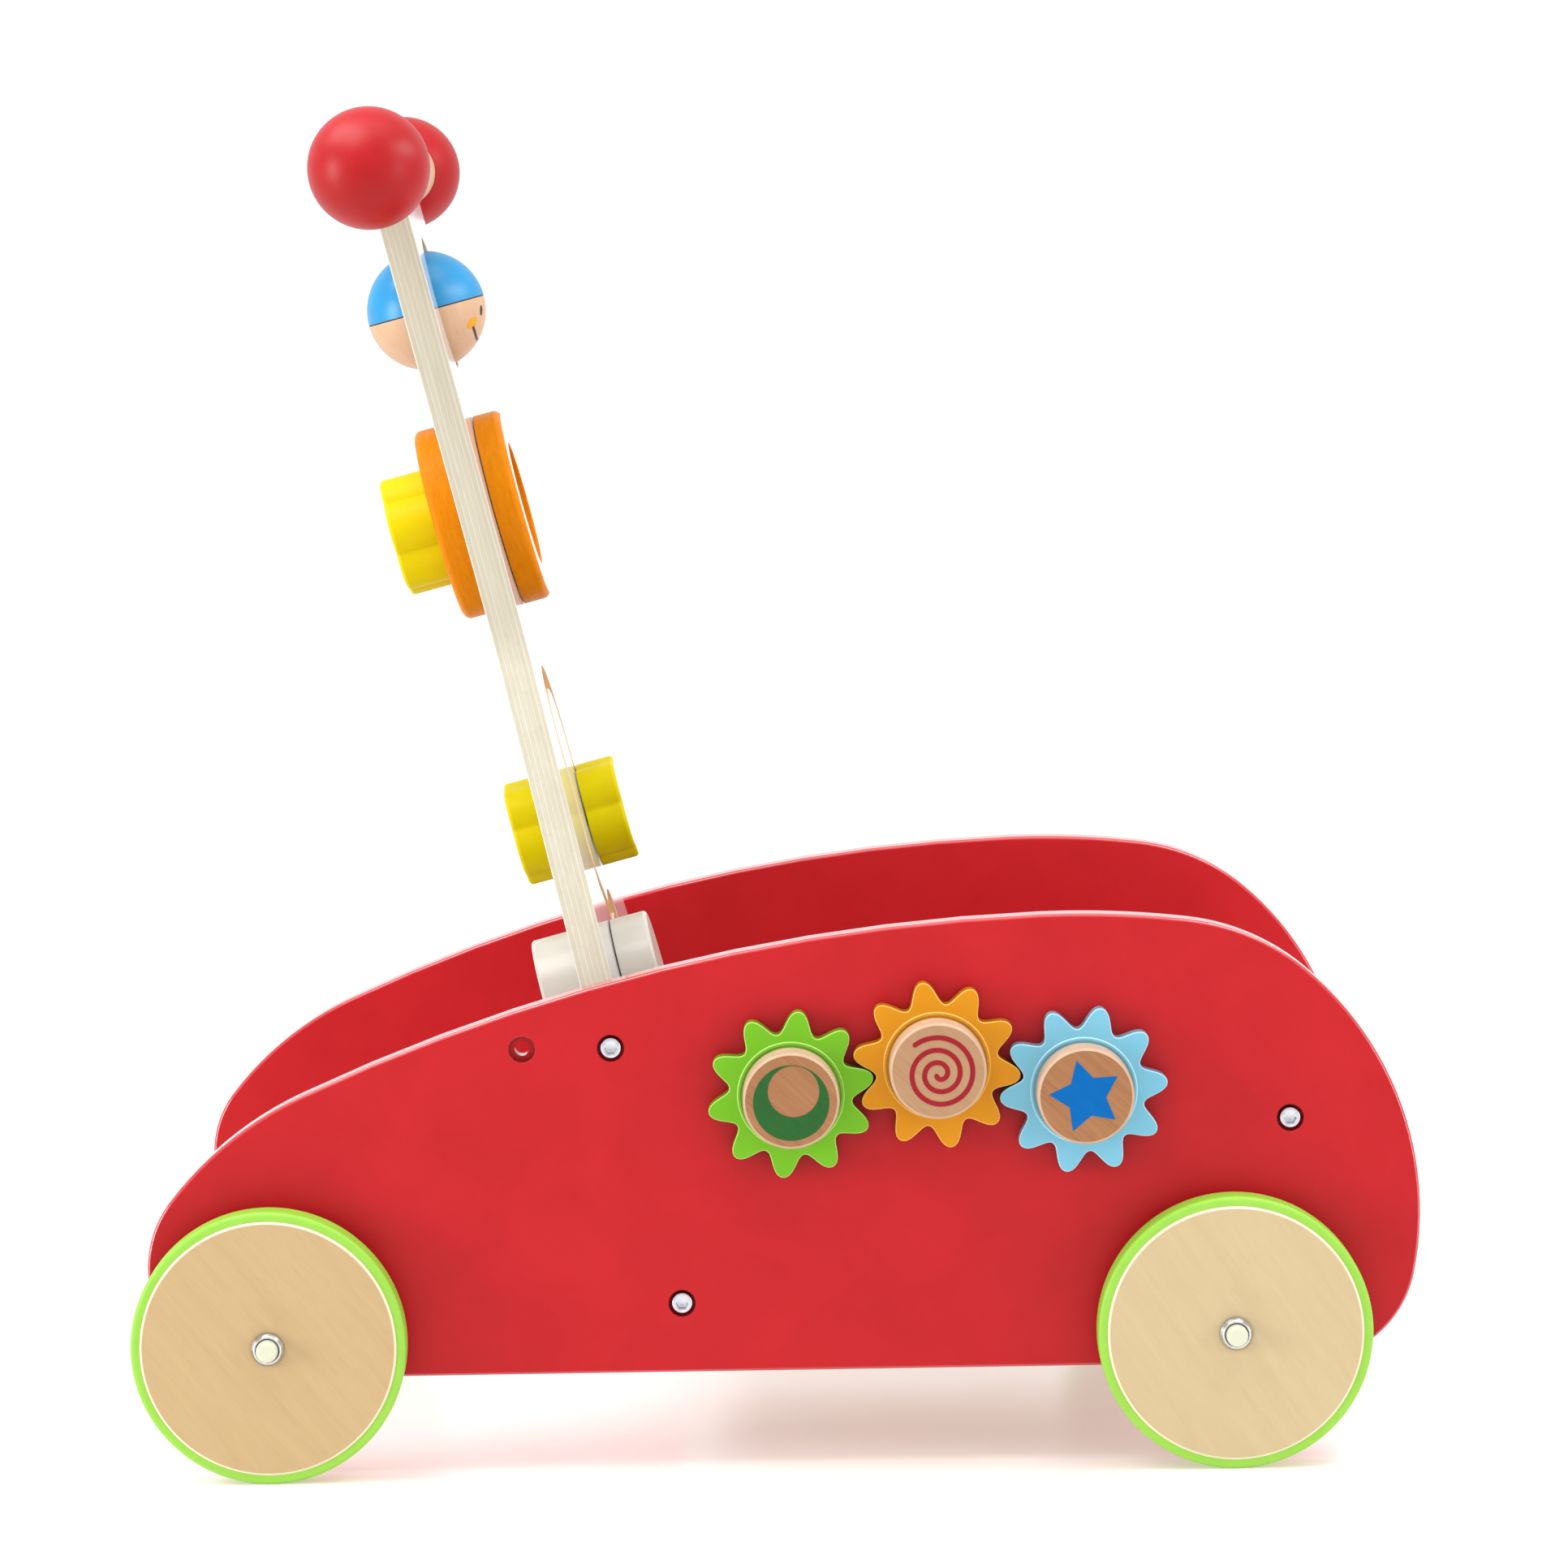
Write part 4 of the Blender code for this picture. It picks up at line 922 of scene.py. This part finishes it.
def wheel_profiles():
    """Turned profiles of a wheel's pieces."""
    low, high, face = WHEEL_LOW, WHEEL_HIGH, WASHER_FACE
    rim = DISC_RADIUS + 0.02
    shoulder = high - DISC_CHAMFER
    return {
        "disc": soften([(DISC_BORE, low), (DISC_RADIUS, low, 1.2), (DISC_RADIUS, shoulder),
                        (DISC_RADIUS - DISC_CHAMFER, high, 0.4), (DISC_BORE, high)], 6),
        "band": soften([(rim, low + 1, 0.1), (TYRE_RADIUS, low, 1.4), (TYRE_RADIUS, high - 0.6, 1.6),
                        (rim, shoulder, 0.1)], 6),
        "washer": soften([(WASHER_BORE, face), (6.2, face, 0.3), (6.0, face + 1.2, 0.8),
                          (5.0, face + WASHER_HIGH, 0.4), (WASHER_BORE, face + WASHER_HIGH, 0.3)]),
        "cap": soften([(0, face), (CAP_RADIUS, face), (CAP_RADIUS, face + CAP_HIGH, 1.8),
                       (0, face + CAP_HIGH)], 8),
    }


def build_wheel(side, end):
    label = f"{end}_{('right', 'left')[side == LEFT]}"
    body = label + "_wheel"
    face_look = {"rear": "birch", "front": "birch_pale"}[end]
    at = side_matrix(side, label + "_wheel_disc")
    pieces = (
        ("disc", "wheel_disc", face_look, "birch_plywood", "birch_edge"),
        ("band", "tyre", "lime", "lime_rubber", None),
        ("washer", "cup_washer", "steel", "plated_steel", None),
        ("cap", "axle_cap", "cream", "cream_plastic", None),
    )
    profiles = wheel_profiles()
    for piece_name, node, look, slot, edge in pieces:
        piece = turned(f"{label}_{piece_name}", profiles[piece_name], 128)
        piece.matrix_world = at
        dress(piece, body, look, [f"{label}_{node}"], edge, 0.97)


def finish_cad_nodes():
    """CAD pieces that stay get the finish of the last of these words that is in their name.

    "pin" is also in spinner_axle and head_spindle, so those two show maple and not steel.
    """
    kinds = (("axle", "steel"), ("spacer", "cream"), ("spindle", "steel"), ("post", "steel"),
             ("pin", "maple"))
    for name, obj in frame["nodes"].items():
        if obj.hide_render:
            continue
        for word, look in kinds:
            if word in name:
                obj.data.materials.clear()
                obj.data.materials.append(looks[look])


# ---------------------------------------------------------------- studio

CAMERA_AT = (-0.00564, -2.24581, 0.45438)
CAMERA_TURN = (0.2925, 5.5218, -0.8816)      # yaw, pitch down, roll, in degrees
LENS = 134.01
SENSOR_WIDTH = 36
WORLD_STRENGTH = 1.03
FLOOR_REACH = 40.0
# The floor's pinkish glow is painted light: it lightens the shadow under the body and paints in a red
# reflection there.
FLOOR_GLOW = (1.0, 0.86, 0.82, 1.0)
GLOW_STRENGTH = 0.34
SOFTBOXES = (                                # name, place, aim, size, power in watts
    ("left_box", (-2.0, -0.9, 0.42), (-0.05, 0, 0.4), (0.6, 0.9), 20),
    ("right_box", (1.9, -1.2, 0.4), (0, 0, 0.4), (0.6, 0.9), 9),
    ("top_box", (0, -0.3, 2.2), (0, 0, 0.2), (1.8, 1.2), 13),
    ("bay_left_box", (-0.4, -0.2, 0.9), (0.0, 0.13, 0.2), (0.6, 0.3), 3.4),
    ("bay_right_box", (0.5, -0.15, 0.8), (0.15, 0.13, 0.2), (0.6, 0.2), 2.7),
)


def build_camera():
    yaw, pitch, roll = (math.radians(angle) for angle in CAMERA_TURN)
    ahead = Vector((math.sin(yaw) * math.cos(pitch), math.cos(yaw) * math.cos(pitch), -math.sin(pitch)))
    across = Vector((math.cos(yaw), -math.sin(yaw), 0))
    rise = across.cross(ahead)
    right = math.cos(roll) * across + math.sin(roll) * rise
    up = math.cos(roll) * rise - math.sin(roll) * across
    data = bpy.data.cameras.new("camera")
    data.lens = LENS
    data.sensor_width = SENSOR_WIDTH
    data.clip_end = 200
    camera = bpy.data.objects.new("camera", data)
    bpy.context.scene.collection.objects.link(camera)
    basis = Matrix((right, up, -ahead)).transposed().to_4x4()
    camera.matrix_world = Matrix.Translation(CAMERA_AT) @ basis
    bpy.context.scene.camera = camera


def softbox(name, place, aim, size, power):
    data = bpy.data.lights.new(name, "AREA")
    data.shape = "RECTANGLE"
    data.size, data.size_y = size
    data.energy = power
    light = bpy.data.objects.new(name, data)
    bpy.context.scene.collection.objects.link(light)
    turn = (Vector(aim) - Vector(place)).to_track_quat("-Z", "Y")
    light.matrix_world = Matrix.Translation(place) @ turn.to_matrix().to_4x4()


def build_studio():
    world = bpy.data.worlds.new("studio")
    bpy.context.scene.world = world
    world.use_nodes = True
    backdrop = world.node_tree.nodes["Background"]
    backdrop.inputs[0].default_value = (1.0, 1.0, 1.0, 1.0)
    backdrop.inputs[1].default_value = WORLD_STRENGTH
    for box in SOFTBOXES:
        softbox(*box)
    mesh = bpy.data.meshes.new("floor")
    reach = FLOOR_REACH
    mesh.from_pydata([(-reach, -reach, 0), (reach, -reach, 0), (reach, reach, 0), (-reach, reach, 0)],
                     [], [(0, 1, 2, 3)])
    floor = bpy.data.objects.new("floor", mesh)
    bpy.context.scene.collection.objects.link(floor)
    paper = finish("floor_paper", (226, 226, 226), (227, 227, 227), 0.2, (3, 3, 3), relief=0.01,
                   gloss=0.5)
    # This emission is painted light that lifts the floor's shadow and tints it pink.
    glow = paper.node_tree.nodes["Principled BSDF"].inputs
    glow["Emission Color"].default_value = FLOOR_GLOW
    glow["Emission Strength"].default_value = GLOW_STRENGTH
    floor.data.materials.append(paper)
    bpy.context.scene.view_settings.view_transform = "Standard"


for side in (RIGHT, LEFT):
    build_panel(side)
    for end in ("rear", "front"):
        build_wheel(side, end)
build_wagon()
build_bolts()
build_board()
build_handle()
build_head()
build_spinner()
build_sliders()
build_gears()
finish_cad_nodes()
build_camera()
build_studio()
